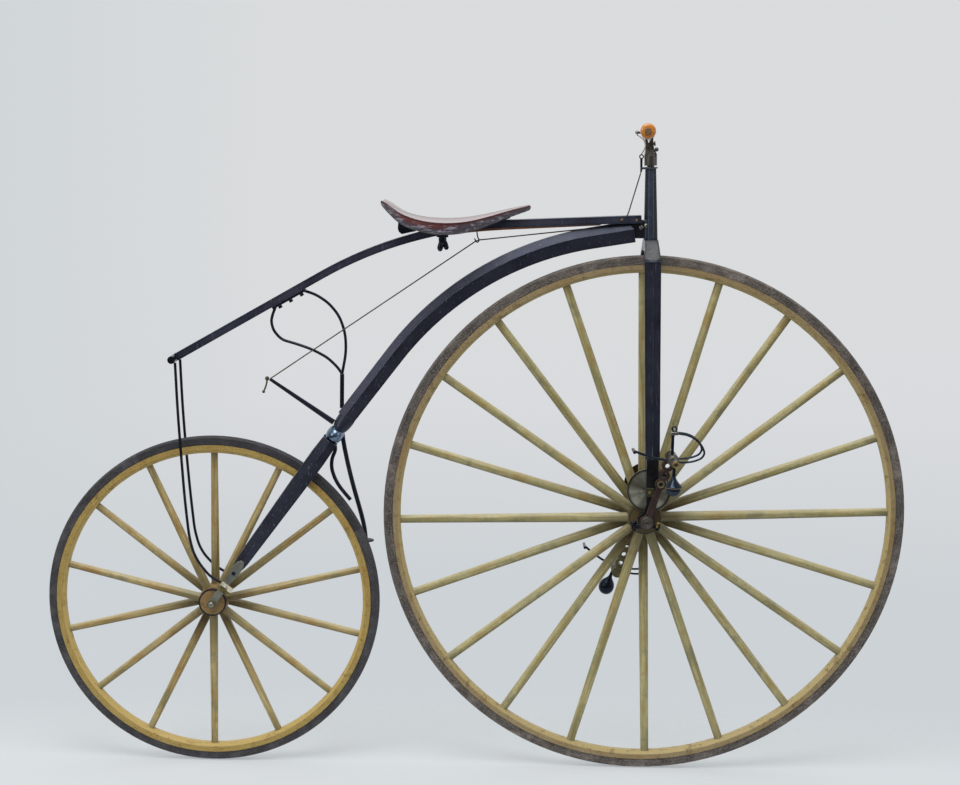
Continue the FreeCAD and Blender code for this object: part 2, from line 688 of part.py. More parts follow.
def rear_plate():
    """One rear end plate, from the axle's eye to a point under the blade's end."""
    # distance from the axle, half width
    outline = ((4.0, 8.5), (16.0, 7.5), (54.0, 6.4), (64.0, 7.4), (75.0, 9.8), (84.0, 10.7), (95.0, 10.4),
               (PLATE_REACH - 6.5, 7.8), (PLATE_REACH, 3.0))
    left = [along(REAR_AXLE_AT, REAR_SLOPE, s, w) for s, w in outline]
    right = [along(REAR_AXLE_AT, REAR_SLOPE, s, -w) for s, w in outline]
    y0 = -PLATE_INSIDE - PLATE_THICKNESS
    y1 = -PLATE_INSIDE
    plate = slab(left + right[::-1], y0, y1)
    plate = plate.fuse(cylinder(REAR_AXLE_AT[0], REAR_AXLE_AT[1], PLATE_EYE_RADIUS, y0, y1))
    return plate.cut(cylinder(REAR_AXLE_AT[0], REAR_AXLE_AT[1], REAR_AXLE_RADIUS, y0 - 1, y1 + 1))


def make_plate_fittings():
    """The strap on each rear plate that holds the foot of the stay: two bars, a bend and a nut."""
    y_out = -PLATE_INSIDE - PLATE_THICKNESS
    # from the axle: start and end along the plate, start and end to its left; how far it stands out
    table = (
        (CLIP_REACH - 4.0, CLIP_REACH + 4.0, -9.0, 9.4, 3.5),
        (CLIP_REACH - 15.5, CLIP_REACH - 7.5, -19.5, 9.4, 2.6),
        (CLIP_REACH - 15.5, CLIP_REACH + 4.0, 7.8, 9.4, 2.6),
        (CLIP_REACH - 6.0, CLIP_REACH + 4.0, -18.6, -8.6, 6.0),
    )
    bars = []
    for s0, s1, w0, w1, out in table:
        corners = ((s0, w0), (s1, w0), (s1, w1), (s0, w1))
        bars.append(slab([along(REAR_AXLE_AT, REAR_SLOPE, s, w) for s, w in corners], y_out - out, y_out))
    return both_sides(bars[0].fuse(bars[1:]))


def make_stays():
    """Two thin rods from the spring bar's rear eye down to the clips on the rear plates."""
    top = (BAR_EYE[0] + 7.0, BAR_EYE[1] - 6.0)
    foot = along(REAR_AXLE_AT, REAR_SLOPE, CLIP_REACH, 10.8)
    y_foot = PLATE_INSIDE + PLATE_THICKNESS + 1.5
    table = (
        # share of the way forward, share of the way down, distance from the middle plane
        (0.0, 0.0, STAY_Y),
        (0.052, 0.220, STAY_Y),
        (0.124, 0.419, STAY_Y + 1.0),
        (0.206, 0.620, STAY_MID_Y),
        (0.299, 0.793, STAY_MID_Y),
        (0.392, 0.867, STAY_MID_Y + 1.0),
        (0.526, 0.917, STAY_MID_Y + 3.0),
        (0.763, 0.972, y_foot),
        (1.0, 1.0, y_foot),
    )
    points = [(top[0] + f * (foot[0] - top[0]), -y, top[1] + d * (foot[1] - top[1])) for f, d, y in table]
    eye = cylinder(BAR_EYE[0], BAR_EYE[1], EYE_RADIUS, -STAY_Y - 7, STAY_Y + 7)
    stay = bent_rod(points, STAY_RADIUS)
    return eye.fuse([stay, mirrored(stay)])


def make_loops(backbone, spring_bar):
    """The heart-shaped spring: a post on the backbone parts into two rods that end at a plate."""
    half = SPRING_THICKNESS / 2
    x = BACKBONE_FOOT[0] - 9.0
    fork = (x, BACKBONE_FOOT[1] + 92.0)
    post = straight_rod((x, 0, BACKBONE_FOOT[1] + 20.0), (x, 0, fork[1]), POST_RADIUS).cut(backbone)
    rear_end = along(BAR_EYE, SPRING_SLOPE, LOOP_PLATE_START + 7, -half - 2)
    front_end = along(BAR_EYE, SPRING_SLOPE, LOOP_PLATE_START + LOOP_PLATE_LENGTH - 6, -half - 1)
    # shares of the way from the fork to the rod's end: along X, along Z
    rear_shares = ((0, 0), (0.072, 0.100), (0.215, 0.237), (0.444, 0.359), (0.681, 0.438), (0.918, 0.502),
                   (1.039, 0.645), (1.068, 0.782), (1.047, 0.875), (1, 1))
    front_shares = ((0, 0), (-0.096, 0.265), (-0.072, 0.495), (0.084, 0.703), (0.361, 0.858),
                    (0.687, 0.956), (1, 1))
    rods = []
    for end, shares in ((rear_end, rear_shares), (front_end, front_shares)):
        points = [(fork[0] + u * (end[0] - fork[0]), 0, fork[1] + v * (end[1] - fork[1])) for u, v in shares]
        rods.append(bent_rod(points, LOOP_RADIUS))
    loops = post.fuse(rods).cut(spring_bar)
    thick = 5.0
    sides = ((0, -half), (LOOP_PLATE_LENGTH, -half), (LOOP_PLATE_LENGTH, -half - thick), (0, -half - thick))
    plate = slab([along(BAR_EYE, SPRING_SLOPE, LOOP_PLATE_START + s, w) for s, w in sides], -12, 12)
    tilt = V(math.sin(math.radians(SPRING_SLOPE)), 0, -math.cos(math.radians(SPRING_SLOPE)))
    for distance in (14.8, 40.4, 66.3):
        top = along(BAR_EYE, SPRING_SLOPE, LOOP_PLATE_START + distance, -half - thick + 1)
        plate = plate.fuse(Part.makeCylinder(4.2, 6.5, V(top[0], 0, top[1]), tilt))
    return loops, plate.cut(loops)


def make_head(backbone, spring_bar):
    """Eight-sided tapered column with its top flange and the lug that holds the backbone."""
    foot = CROWN_TOP + SEAT_GAP
    column = loft([eight_across(HEAD_FOOT_WIDTH, foot), eight_across(HEAD_TOP_WIDTH, HEAD_TOP)])
    flange = upright(0, 0, FLANGE_RADIUS, HEAD_TOP - 0.5, HEAD_TOP + FLANGE_HEIGHT)
    tab = block(-LINK_BEHIND - 1.6, 0, -2.5, 2.5, HEAD_TOP - 2.0, HEAD_TOP + FLANGE_HEIGHT)
    column = leaned(column.fuse(flange).fuse(tab))
    x, z = BACKBONE_HEAD
    inside = AXIS_AHEAD - 24.0
    lug = slab([
        (x - 24, z - 6), (x - 24, z + 24), (inside, z + 24), (inside, z - 14), (x - 2, z - 14),
    ], -LUG_HALF, LUG_HALF)
    bore = leaned(upright(0, 0, STEM_RADIUS + RUNNING, CROWN_TOP - 5, HEAD_TOP + 10))
    return column.fuse(lug).cut(bore).cut(backbone).cut(spring_bar)


def eight_across(width, height):
    """A regular octagon across the steering axis, flat sides fore and aft and to each side."""
    reach = width / 2
    cut = reach * math.tan(math.radians(22.5))
    signs = ((-1, -1), (1, -1), (1, 1), (-1, 1))
    corners = []
    for sx, sy in signs:
        first = (sx * reach, sy * cut, height)
        second = (sx * cut, sy * reach, height)
        corners += [first, second] if sx == sy else [second, first]
    return corners


# ---------------------------------------------------------------- steering

def make_fork():
    """Crown with its steering stem, the two blades, and the irons that carry the axle."""
    outside = BLADE_INSIDE + BLADE_THICKNESS
    middle = -(BLADE_INSIDE + BLADE_THICKNESS / 2)

    def blade_at(height, width, y, thickness):
        six = ridged_section((0, height), (1.0, 0.0), width, thickness, y)
        return [(p[0], p[1], height) for p in six]

    blade = loft([
        blade_at(BLADE_FOOT, BLADE_WIDTH_FOOT, middle, BLADE_THICKNESS),
        blade_at(CROWN_BOTTOM, BLADE_WIDTH_TOP, middle, BLADE_THICKNESS),
    ])
    # the blade's lower end is cut off at a slant
    slant = slab([(-40, BLADE_FOOT - 1), (40, BLADE_FOOT - 1), (40, BLADE_FOOT + 3), (-40, BLADE_FOOT + 11)],
                 -outside - 1, -BLADE_INSIDE + 1)
    blades = leaned(both_sides(blade.cut(slant)))

    # six corners across the whole crown, ridged as the blades are
    def crown_at(height, width):
        half = width / 2
        edge = outside - BLADE_THICKNESS * 0.3
        return [(-half, -edge, height), (0, -outside, height), (half, -edge, height),
                (half, edge, height), (0, outside, height), (-half, edge, height)]

    crown = loft([crown_at(CROWN_BOTTOM, BLADE_WIDTH_TOP), crown_at(CROWN_TOP, CROWN_TOP_WIDTH)])
    shoulders = prism([(-outside, CROWN_BOTTOM), (-CROWN_TOP_HALF, CROWN_TOP), (CROWN_TOP_HALF, CROWN_TOP),
                       (outside, CROWN_BOTTOM)], -40, 40)
    arch = prism([
        (-BLADE_INSIDE, CROWN_BOTTOM - 1), (-BLADE_INSIDE, ARCH_BOTTOM - 8),
        (-BLADE_INSIDE + 10, ARCH_BOTTOM),
        (BLADE_INSIDE - 10, ARCH_BOTTOM), (BLADE_INSIDE, ARCH_BOTTOM - 8), (BLADE_INSIDE, CROWN_BOTTOM - 1),
    ], -40, 40)
    stem = upright(0, 0, STEM_RADIUS, CROWN_TOP - 10, COLLAR_TOP)
    crown = leaned(crown.common(shoulders).cut(arch).fuse(stem))

    y_out = -(BLADE_INSIDE + FORK_END_THICKNESS)
    y_in = -BLADE_INSIDE
    half = FORK_END_WIDTH / 2
    centre_x = -AXIS_AHEAD
    iron = slab([(-half, BLADE_FOOT + 12), (half, BLADE_FOOT + 12), (half, 46.0), (2.0, 8.0),
                 (centre_x - 9, 10.0), (-half, 34.0)], y_out, y_in)
    boss = cylinder(centre_x, 0, AXLE_EYE_RADIUS, y_out, y_in)
    cap = slab([(centre_x - CAP_HALF, -AXLE_EYE_RADIUS), (centre_x + CAP_HALF, -AXLE_EYE_RADIUS),
                (centre_x + CAP_HALF, -AXLE_EYE_RADIUS + CAP_HEIGHT),
                (centre_x - CAP_HALF, -AXLE_EYE_RADIUS + CAP_HEIGHT)], y_out + 1.5, y_in - 1.5)
    bolts = []
    for side in (-1, 1):
        x = centre_x + side * (CAP_HALF - 6)
        low = -AXLE_EYE_RADIUS - 5
        bolts.append(upright(x, (y_out + y_in) / 2, 4.4, low, low + CAP_HEIGHT + 10))
    hole = cylinder(centre_x, 0, FRONT_AXLE_RADIUS + RUNNING, y_out - 1, y_in + 1)
    iron = iron.fuse([boss, cap] + bolts).cut(hole)
    return crown, blades, iron_in_place(iron).cut(blades)


def iron_in_place(iron):
    """The irons hang from the leaning blades, and their eyes stay on the level axle."""
    x, z = leaned_point(-AXIS_AHEAD, 0)
    placed = leaned(iron)
    placed.translate(V(-x, 0, FRONT_RADIUS - z))
    return both_sides(placed)


def make_discs():
    """A shallow dished plate inside each fork iron, with the square nut that clamps it."""
    x = DISC_AHEAD
    z = FRONT_RADIUS + DISC_ABOVE_AXLE
    flat = DISC_RADIUS * 0.3
    rim = DISC_RADIUS - 4
    # radius, distance in from the fork iron
    profile = [
        (0.0, 0.0), (flat, 0.0), (rim, DISC_DISH), (DISC_RADIUS, DISC_DISH),
        (DISC_RADIUS, DISC_DISH + DISC_THICKNESS), (rim, DISC_DISH + DISC_THICKNESS),
        (flat, DISC_THICKNESS), (0.0, DISC_THICKNESS),
    ]
    disc = turned(profile, x, -BLADE_INSIDE, z, Y_AXIS)
    y_out = -(BLADE_INSIDE + FORK_END_THICKNESS)
    half = NUT_BOX / 2
    box = block(x - half, x + half, y_out - NUT_BOX_THICKNESS, y_out, z - half, z + half)
    return both_sides(disc), both_sides(box)


def make_stem_top():
    """Collar, forged neck with its split clamp, and the clamp's screw."""
    collar = upright(0, 0, COLLAR_RADIUS, COLLAR_BOTTOM, COLLAR_TOP)
    collar = collar.cut(upright(0, 0, STEM_RADIUS, COLLAR_BOTTOM - 1, COLLAR_TOP + 1))
    table = (
        # height above the collar, half length in X, half length in Y, middle in X
        (0.0, 12.4, 11.5, 0.0),
        (5.0, 11.0, 10.5, -0.5),
        (11.0, 8.6, 9.0, -2.0),
        (24.0, 7.8, 8.6, -3.0),
        (BAR_RISE - BAR_RADIUS + 2, 8.4, 9.0, -3.6),
    )
    sections = [[(m - hx, -hy, COLLAR_TOP + h), (m + hx, -hy, COLLAR_TOP + h), (m + hx, hy, COLLAR_TOP + h),
                 (m - hx, hy, COLLAR_TOP + h)] for h, hx, hy, m in table]
    ring = bar_rod(BAR_RADIUS + 4.2, 9.0)
    neck = loft(sections).fuse(ring)
    split = slab([(-5.2, BAR_HEIGHT - 21), (-3.6, BAR_HEIGHT - 21), (1.0, BAR_HEIGHT - 10),
                  (-9.0, BAR_HEIGHT - 10)], -20, 20)
    screw = Part.makeCylinder(2.6, 5.5, V(2.8, 0, BAR_HEIGHT - 23), V(1, 0, 0.06))
    screw = screw.fuse(Part.makeCylinder(4.8, 2.8, V(7.0, 0, BAR_HEIGHT - 22.7), V(1, 0, 0.06)))
    return leaned(collar), leaned(neck.cut(split).fuse(screw))


def bar_rod(radius, half_length):
    """A bar across the steering axis, skewed as the handlebar is."""
    rod = Part.makeCylinder(radius, 2 * half_length, V(0, -half_length, BAR_HEIGHT), Y_AXIS)
    rod.rotate(V(0, 0, BAR_HEIGHT), Z_AXIS, -BAR_SKEW)
    rod.translate(V(-BAR_BEHIND, 0, 0))
    return rod


def make_handlebar():
    """Straight steel bar with the pin that pulls the cord, two turned grips, and their end caps."""
    bar = bar_rod(BAR_RADIUS, BAR_HALF - 3)
    pin = Part.makeCylinder(CORD_PIN_RADIUS, CORD_PIN_REACH, V(-BAR_BEHIND, 0, BAR_HEIGHT), V(-1, 0, 0))
    knob = Part.makeSphere(CORD_KNOB_RADIUS, V(-BAR_BEHIND - CORD_PIN_REACH, 0, BAR_HEIGHT))
    outline = (
        # distance from the bar's end, less than the grip's largest radius
        (0.0, 5.8), (2.5, 1.2), (7.0, 0.0), (14.0, 0.6), (32.0, 3.6), (62.0, 2.6), (96.0, 3.8), (110.0, 2.2),
        (GRIP_LENGTH, 5.4),
    )
    grip = turned([(GRIP_RADIUS - less, s) for s, less in outline], 0, -BAR_HALF, 0, Y_AXIS)
    cap = turned([(CAP_RADIUS, -1.8), (CAP_RADIUS + 0.8, -0.9), (CAP_RADIUS + 0.8, 0.0)],
                 0, -BAR_HALF, 0, Y_AXIS)
    pairs = []
    for shape in (grip, cap):
        pair = []
        for turn in (0, 180):
            copy = shape.copy()
            copy.rotate(V(0, 0, 0), Z_AXIS, turn - BAR_SKEW)
            copy.translate(V(-BAR_BEHIND, 0, BAR_HEIGHT))
            pair.append(copy)
        pairs.append(pair)
    grips = [g.cut(bar) for g in pairs[0]]
    handle = bar.fuse(pin).fuse(knob)
    return leaned(handle), leaned(Part.makeCompound(grips)), leaned(Part.makeCompound(pairs[1]))


# ---------------------------------------------------------------- cranks and pedals

def crank_tip():
    angle = math.radians(CRANK_ANGLE)
    return CRANK_LENGTH * math.sin(angle), CRANK_LENGTH * math.cos(angle)


def make_crank():
    """Flat arm with a boss on the axle, an eye with the pedal's spindle, and three spare eyes."""
    y_out = -(CRANK_INSIDE + CRANK_THICKNESS)
    y_in = -CRANK_INSIDE
    half = CRANK_WIDTH / 2
    foot = CRANK_FOOT_WIDTH / 2
    first_eye = CRANK_LENGTH - 3 * CRANK_HOLE_PITCH
    arm = slab([(-foot, 0), (-half, first_eye), (-half, CRANK_LENGTH), (half, CRANK_LENGTH),
                (half, first_eye), (foot, 0)], y_out, y_in)
    boss = cylinder(0, 0, CRANK_BOSS_RADIUS, y_out - 2.5, y_in + 3.0)
    eyes = [cylinder(0, CRANK_LENGTH - n * CRANK_HOLE_PITCH, CRANK_EYE_RADIUS, y_out, y_in)
            for n in range(4)]
    arm = arm.fuse([boss] + eyes)
    for n in (1, 2, 3):
        distance = CRANK_LENGTH - n * CRANK_HOLE_PITCH
        arm = arm.cut(cylinder(0, distance, CRANK_HOLE_RADIUS, y_out - 1, y_in + 1))
    arm = arm.cut(cylinder(0, 0, FRONT_AXLE_RADIUS, y_out - 5, y_in + 5))
    y_end = y_out - SPINDLE_LENGTH
    spindle = cylinder(0, CRANK_LENGTH, SPINDLE_RADIUS, y_end, y_out)
    nut = cylinder(0, CRANK_LENGTH, 6.8, y_end - 3.0, y_out - PEDAL_CLEARANCE - SLEEVE_LENGTH - 2.0)
    arm = arm.fuse([spindle, nut])
    arm.rotate(V(0, 0, 0), Y_AXIS, CRANK_ANGLE)
    arm.translate(V(0, 0, FRONT_RADIUS))
    return arm


def opposite(shape):
    """The left side's piece: the same, half a turn round the front axle."""
    copy = mirrored(shape)
    copy.rotate(V(0, 0, FRONT_RADIUS), Y_AXIS, 180)
    return copy


def make_pedal():
    """Sleeve on the spindle, toe frame of bent wire, and the weight that keeps it upright.

    Drawn about the right-hand spindle, which is at X = 0 and Z = 0, and hanging as it rests.
    """
    near = -(CRANK_INSIDE + CRANK_THICKNESS + PEDAL_CLEARANCE)
    far = near - SLEEVE_LENGTH
    thin = SLEEVE_RADIUS - 4.6
    solid_sleeve = turned([
        (SLEEVE_RADIUS - 2.5, 0.0), (SLEEVE_RADIUS, 3.0), (SLEEVE_RADIUS, 40.0), (SLEEVE_RADIUS - 2.0, 43.0),
        (thin, 46.0), (thin, SLEEVE_LENGTH - 1.5), (thin - 1.5, SLEEVE_LENGTH),
    ], 0, near, 0, V(0, -1, 0))
    sleeve = solid_sleeve.cut(cylinder(0, 0, SPINDLE_RADIUS + RUNNING, far - 1, near + 1))

    middle = near - 14.0 - TOE_WIRE_SPACING / 2
    top = TOE_FRAME_TOP
    # along X, height, share of the wires' spacing: they close in on the bridge at the top
    table = (
        (5.0, 0.5, 1.0), (22.0, 0.0, 1.0), (40.0, 3.0, 1.0), (55.0, 9.5, 1.0), (61.0, 20.0, 1.0),
        (54.5, top - 21.0, 0.74), (41.0, top - 9.0, 0.52), (26.0, top - 2.5, 0.37), (5.0, top, 0.3),
    )
    wires = []
    for side in (-0.5, 0.5):
        points = [(px, middle + side * share * TOE_WIRE_SPACING, pz) for px, pz, share in table]
        wires.append(bent_rod(points, TOE_WIRE_RADIUS))
    bridge = block(-6.5, 7.0, middle - 10.5, middle + 10.5, top - 2.8, top + 2.8)
    rod = straight_rod((-2.5, middle, 5.0), (-2.5, middle, top), TOE_ROD_RADIUS)
    ring = cylinder(0.5, top + 8.4, 6.2, middle - 2.4, middle + 2.4).cut(
        cylinder(0.5, top + 8.4, 3.3, middle - 5, middle + 5))
    tail = bent_rod([
        (-5.0, middle, 1.0), (-20.0, middle, 1.6), (-36.0, middle, 4.0), (-61.0, middle, 10.8),
        (-80.0, middle, 18.0),
    ], TOE_WIRE_RADIUS + 0.4)
    tail_bar = cylinder(-81.0, 18.4, 3.2, middle - 20, middle + 20)
    frame = wires[0].fuse([wires[1], bridge, rod, ring, tail, tail_bar]).cut(solid_sleeve)

    hang = middle - 20.0
    # radius, height from the spindle
    weight = turned([
        (3.3, -5.0), (3.3, -24.0), (4.6, -30.0), (7.4, -36.0), (12.0, -43.0), (WEIGHT_RADIUS - 0.8, -49.5),
        (WEIGHT_RADIUS, -50.5), (WEIGHT_RADIUS, -53.0), (WEIGHT_RADIUS - 0.8, -54.5),
        (WEIGHT_RADIUS - 1.7, -59.0), (11.0, -64.0), (7.0, -68.3), (3.0, -70.4), (0.0, -70.8),
    ], 0, hang, 0, Z_AXIS)
    return sleeve, frame, weight.cut(solid_sleeve)


# ---------------------------------------------------------------- saddle

def saddle_sections(rise, grow, drop):
    """Cross-sections of the saddle from tail to nose: flat underside, straight side, crowned top."""
    table = (
        # in front of the spring bar's bend, height of the top above it, half width, side, crown
        (-51.0, 50.2, 60.0, 6.0, 1.0),
        (-34.0, 47.2, 74.0, 11.0, 3.0),
        (-6.0, 32.2, 84.0, 16.0, 5.0),
        (34.0, 22.7, 86.0, 21.5, 7.0),
        (79.0, 20.2, 79.0, 24.5, 8.0),
        (124.0, 23.2, 64.0, 23.0, 8.0),
        (169.0, 31.7, 46.0, 19.0, 6.0),
        (214.0, 42.7, 33.0, 14.0, 4.0),
        (253.0, 50.7, 27.0, 9.0, 2.0),
    )
    sections = []
    for ahead, above, half, side, crown in table:
        x = BEND[0] + ahead
        top = BEND[1] + above + rise
        half = half + grow
        edge = top - crown
        low = edge - side - drop
        sections.append([
            (x, -half, low), (x, -half, edge), (x, -half * 0.62, top - crown * 0.35), (x, 0.0, top),
            (x, half * 0.62, top - crown * 0.35), (x, half, edge), (x, half, low),
        ])
    return sections


def make_saddle(spring_bar):
    """Leather-covered pad, and the iron pan under it that follows its underside."""
    pad = loft(saddle_sections(0.0, 0.0, 0.0))
    hollow = loft(saddle_sections(-PAD_THICKNESS, -PAN_INSET, 30.0))
    pad = pad.cut(hollow)
    # the pan ends where the pad grows too thin to hide it
    under_pan = loft(saddle_sections(-PAD_THICKNESS - PAN_THICKNESS, -PAN_INSET, 40.0)[2:-1])
    pan = loft(saddle_sections(-PAD_THICKNESS, -PAN_INSET - SEAT_GAP, 3.0)[2:-1]).cut(under_pan)
    return pad.cut(spring_bar), pan.cut(spring_bar)


def make_saddle_fittings():
    """Rear block between bar and saddle, clamp under the bar, and its wing nut."""
    half = SPRING_THICKNESS / 2
    back = BEND[0] - 18.0
    front = BEND[0] + 12.0
    corners = [(back, under_spring(back, -half) + 2), (back + 6, under_spring(back + 6, -half)),
               (front, under_spring(front, -half)), (front + 8, BEND[1] + 9.2), (back + 1, BEND[1] + 14.2)]
    rear_block = slab(corners, -16, 16)
    x = BEND[0] + 75.0
    top = half + SEAT_GAP
    neck_top = under_spring(x, top)
    plate = slab([
        (x - 12, under_spring(x - 12, top)), (x + 12, under_spring(x + 12, top)),
        (x + 12, neck_top - 5), (x - 12, neck_top - 5),
    ], -13, 13)
    neck = upright(x, 0, 7.5, neck_top - 15, neck_top - 2)
    pieces = [neck]
    for dx, dz in ((-4.6, -30.0), (8.2, -26.5)):
        pieces.append(Part.makeCylinder(5.0, 5.0, V(x + dx, -2.5, neck_top + dz), Y_AXIS))
        pieces.append(straight_rod((x + dx * 0.5, 0, neck_top - 12), (x + dx, 0, neck_top + dz), 4.2))
    return rear_block, plate.fuse(pieces)


# ---------------------------------------------------------------- brake, step and cord

def make_hook():
    """J-shaped wire hook screwed up into the spring bar."""
    top = under_spring(HOOK_X - 1, SPRING_THICKNESS / 2 + STRIP_THICKNESS) - 2.5 * SEAT_GAP
    aside = HOOK_WIRE + CORD_RADIUS + 0.6
    # along X from the hook's middle, share of the way to the cord's left side, height above its seat
    table = ((-1.0, 1.0, top - HOOK_SEAT_Z), (1.0, 1.05, 9.0), (4.5, 1.0, 4.0), (2.0, 0.7, -0.6),
             (-2.5, -0.9, -0.3), (-5.5, -1.2, 7.5))
    points = [(HOOK_X + dx, CORD_SIDE + share * aside, HOOK_SEAT_Z + dz) for dx, share, dz in table]
    return bent_rod(points, HOOK_WIRE)


def make_lever():
    """Thin tapered lever that the cord pulls."""
    return straight_rod((LEVER_TIP[0], CORD_SIDE, LEVER_TIP[1]), (LEVER_ROOT[0], 0, LEVER_ROOT[1]),
                        LEVER_TIP_RADIUS, LEVER_ROOT_RADIUS)


def make_spoon():
    """Curved spoon that the lever swings onto the rear tyre."""
    # distance outside the rear tyre, degrees above level as seen from the rear axle
    table = ((75.0, 53.7), (62.5, 51.9), (43.4, 51.2), (27.4, 49.4), (16.5, 46.6), (10.6, 43.4), (9.6, 40.3),
             (10.4, 37.4))
    points = []
    for off, degrees in table:
        x, z = along(REAR_AXLE_AT, degrees, REAR_RADIUS + off)
        points.append((x, 0, z))
    return bent_rod(points, SPOON_RADIUS)


def make_step():
    """Rod on the left side of the rear wheel, with an oval tread plate at its foot."""
    # from the fork's neck: forward, left, down
    table = ((2.0, 8.0, 10.0), (12.0, 11.0, 32.0), (21.4, 17.0, 78.0), (32.4, 25.0, 125.0),
             (43.4, 33.0, 165.0), (52.4, 38.0, 199.0), (58.0, 46.0, 245.5))
    rod = bent_rod([(FORK_NECK[0] + f, left, FORK_NECK[1] - d) for f, left, d in table], STEP_ROD_RADIUS)
    x0 = FORK_NECK[0] + 31.4
    x1 = x0 + TREAD_LENGTH
    y0 = table[-1][1] - STEP_ROD_RADIUS
    y1 = y0 + TREAD_WIDTH
    z0 = FORK_NECK[1] - table[-1][2] - TREAD_THICKNESS
    z1 = z0 + TREAD_THICKNESS
    r = TREAD_CORNER
    tread = block(x0 + r, x1 - r, y0, y1, z0, z1).fuse(block(x0, x1, y0 + r, y1 - r, z0, z1))
    tread = tread.fuse([upright(x, y, r, z0, z1) for x in (x0 + r, x1 - r) for y in (y0 + r, y1 - r)])
    return rod.fuse(tread)


def make_link():
    """Flat arm with an eye behind the collar: the cord passes through the eye and down its back."""
    x = LINK_X
    eye = cylinder(x - 0.5, LINK_TOP, LINK_RING, -1.2, 1.2)
    strip = slab([
        (x - 3.4, LINK_TOP), (x + 1.8, LINK_TOP), (x + 1.8, LINK_FOOT + 6), (x - 0.6, LINK_FOOT),
        (x - 2.2, LINK_FOOT),
    ], -1.2, 1.2)
    return eye.fuse(strip).cut(cylinder(x - 0.5, LINK_TOP, 2.7, -2, 2))


def cord_route():
    """From the arm at the head, through the bar, along the slot, over the hook, to the lever."""
    drop = V(CORD_DROP[0], 0, CORD_DROP[1])
    hook = V(CORD_ON_HOOK[0], CORD_SIDE, CORD_ON_HOOK[1])
    lever = V(LEVER_TIP[0] + 3, CORD_SIDE, LEVER_TIP[1] + 2)
    before = hook + (drop - hook).normalize() * CORD_REST + V(0, 0, -CORD_SAG)
    after = hook + (lever - hook).normalize() * CORD_REST + V(0, 0, -CORD_SAG)
    return [
        (LINK_X - 1.4, 0, LINK_FOOT - SEAT_GAP),
        (LINK_X - 14.5, 0, LINK_FOOT - 47.0),
        tuple(drop), tuple(before), tuple(hook), tuple(after), tuple(lever),
    ]


def make_cords():
    """The long cord, the knot and tail at the lever, and the short cord from arm to handlebar."""
    route = cord_route()
    path = bent_path(route)
    cord = bent_rod(route, CORD_RADIUS)
    x, z = LEVER_TIP
    y = CORD_SIDE
    knot = Part.makeSphere(4.6, V(x - 5.5, y, z + 1.0))
    tail = bent_rod([(x - 6, y, z - 1), (x - 6.5, y, z - 9), (x - 9, y, z - 18), (x - 13, y, z - 27)], 1.8)
    tail = tail.fuse(Part.makeSphere(3.2, V(x - 13, y, z - 27)))
    pin_x, pin_z = leaned_point(-BAR_BEHIND - CORD_PIN_REACH, BAR_HEIGHT)
    short_route = [
        (LINK_X - 1.0, 0, LINK_TOP + LINK_RING + SEAT_GAP), (LINK_X + 4.5, 0, LINK_TOP + 22.0),
        (LINK_X - 2.0, 0, LINK_TOP + 38.0), (pin_x, 0, pin_z - CORD_KNOB_RADIUS - 3 * SEAT_GAP),
    ]
    short = bent_rod(short_route, CORD_RADIUS)
    print("long cord %.0f mm, short cord %.0f mm" % (path.Length, bent_path(short_route).Length))
    return cord, knot.fuse(tail), short


# ---------------------------------------------------------------- assembly

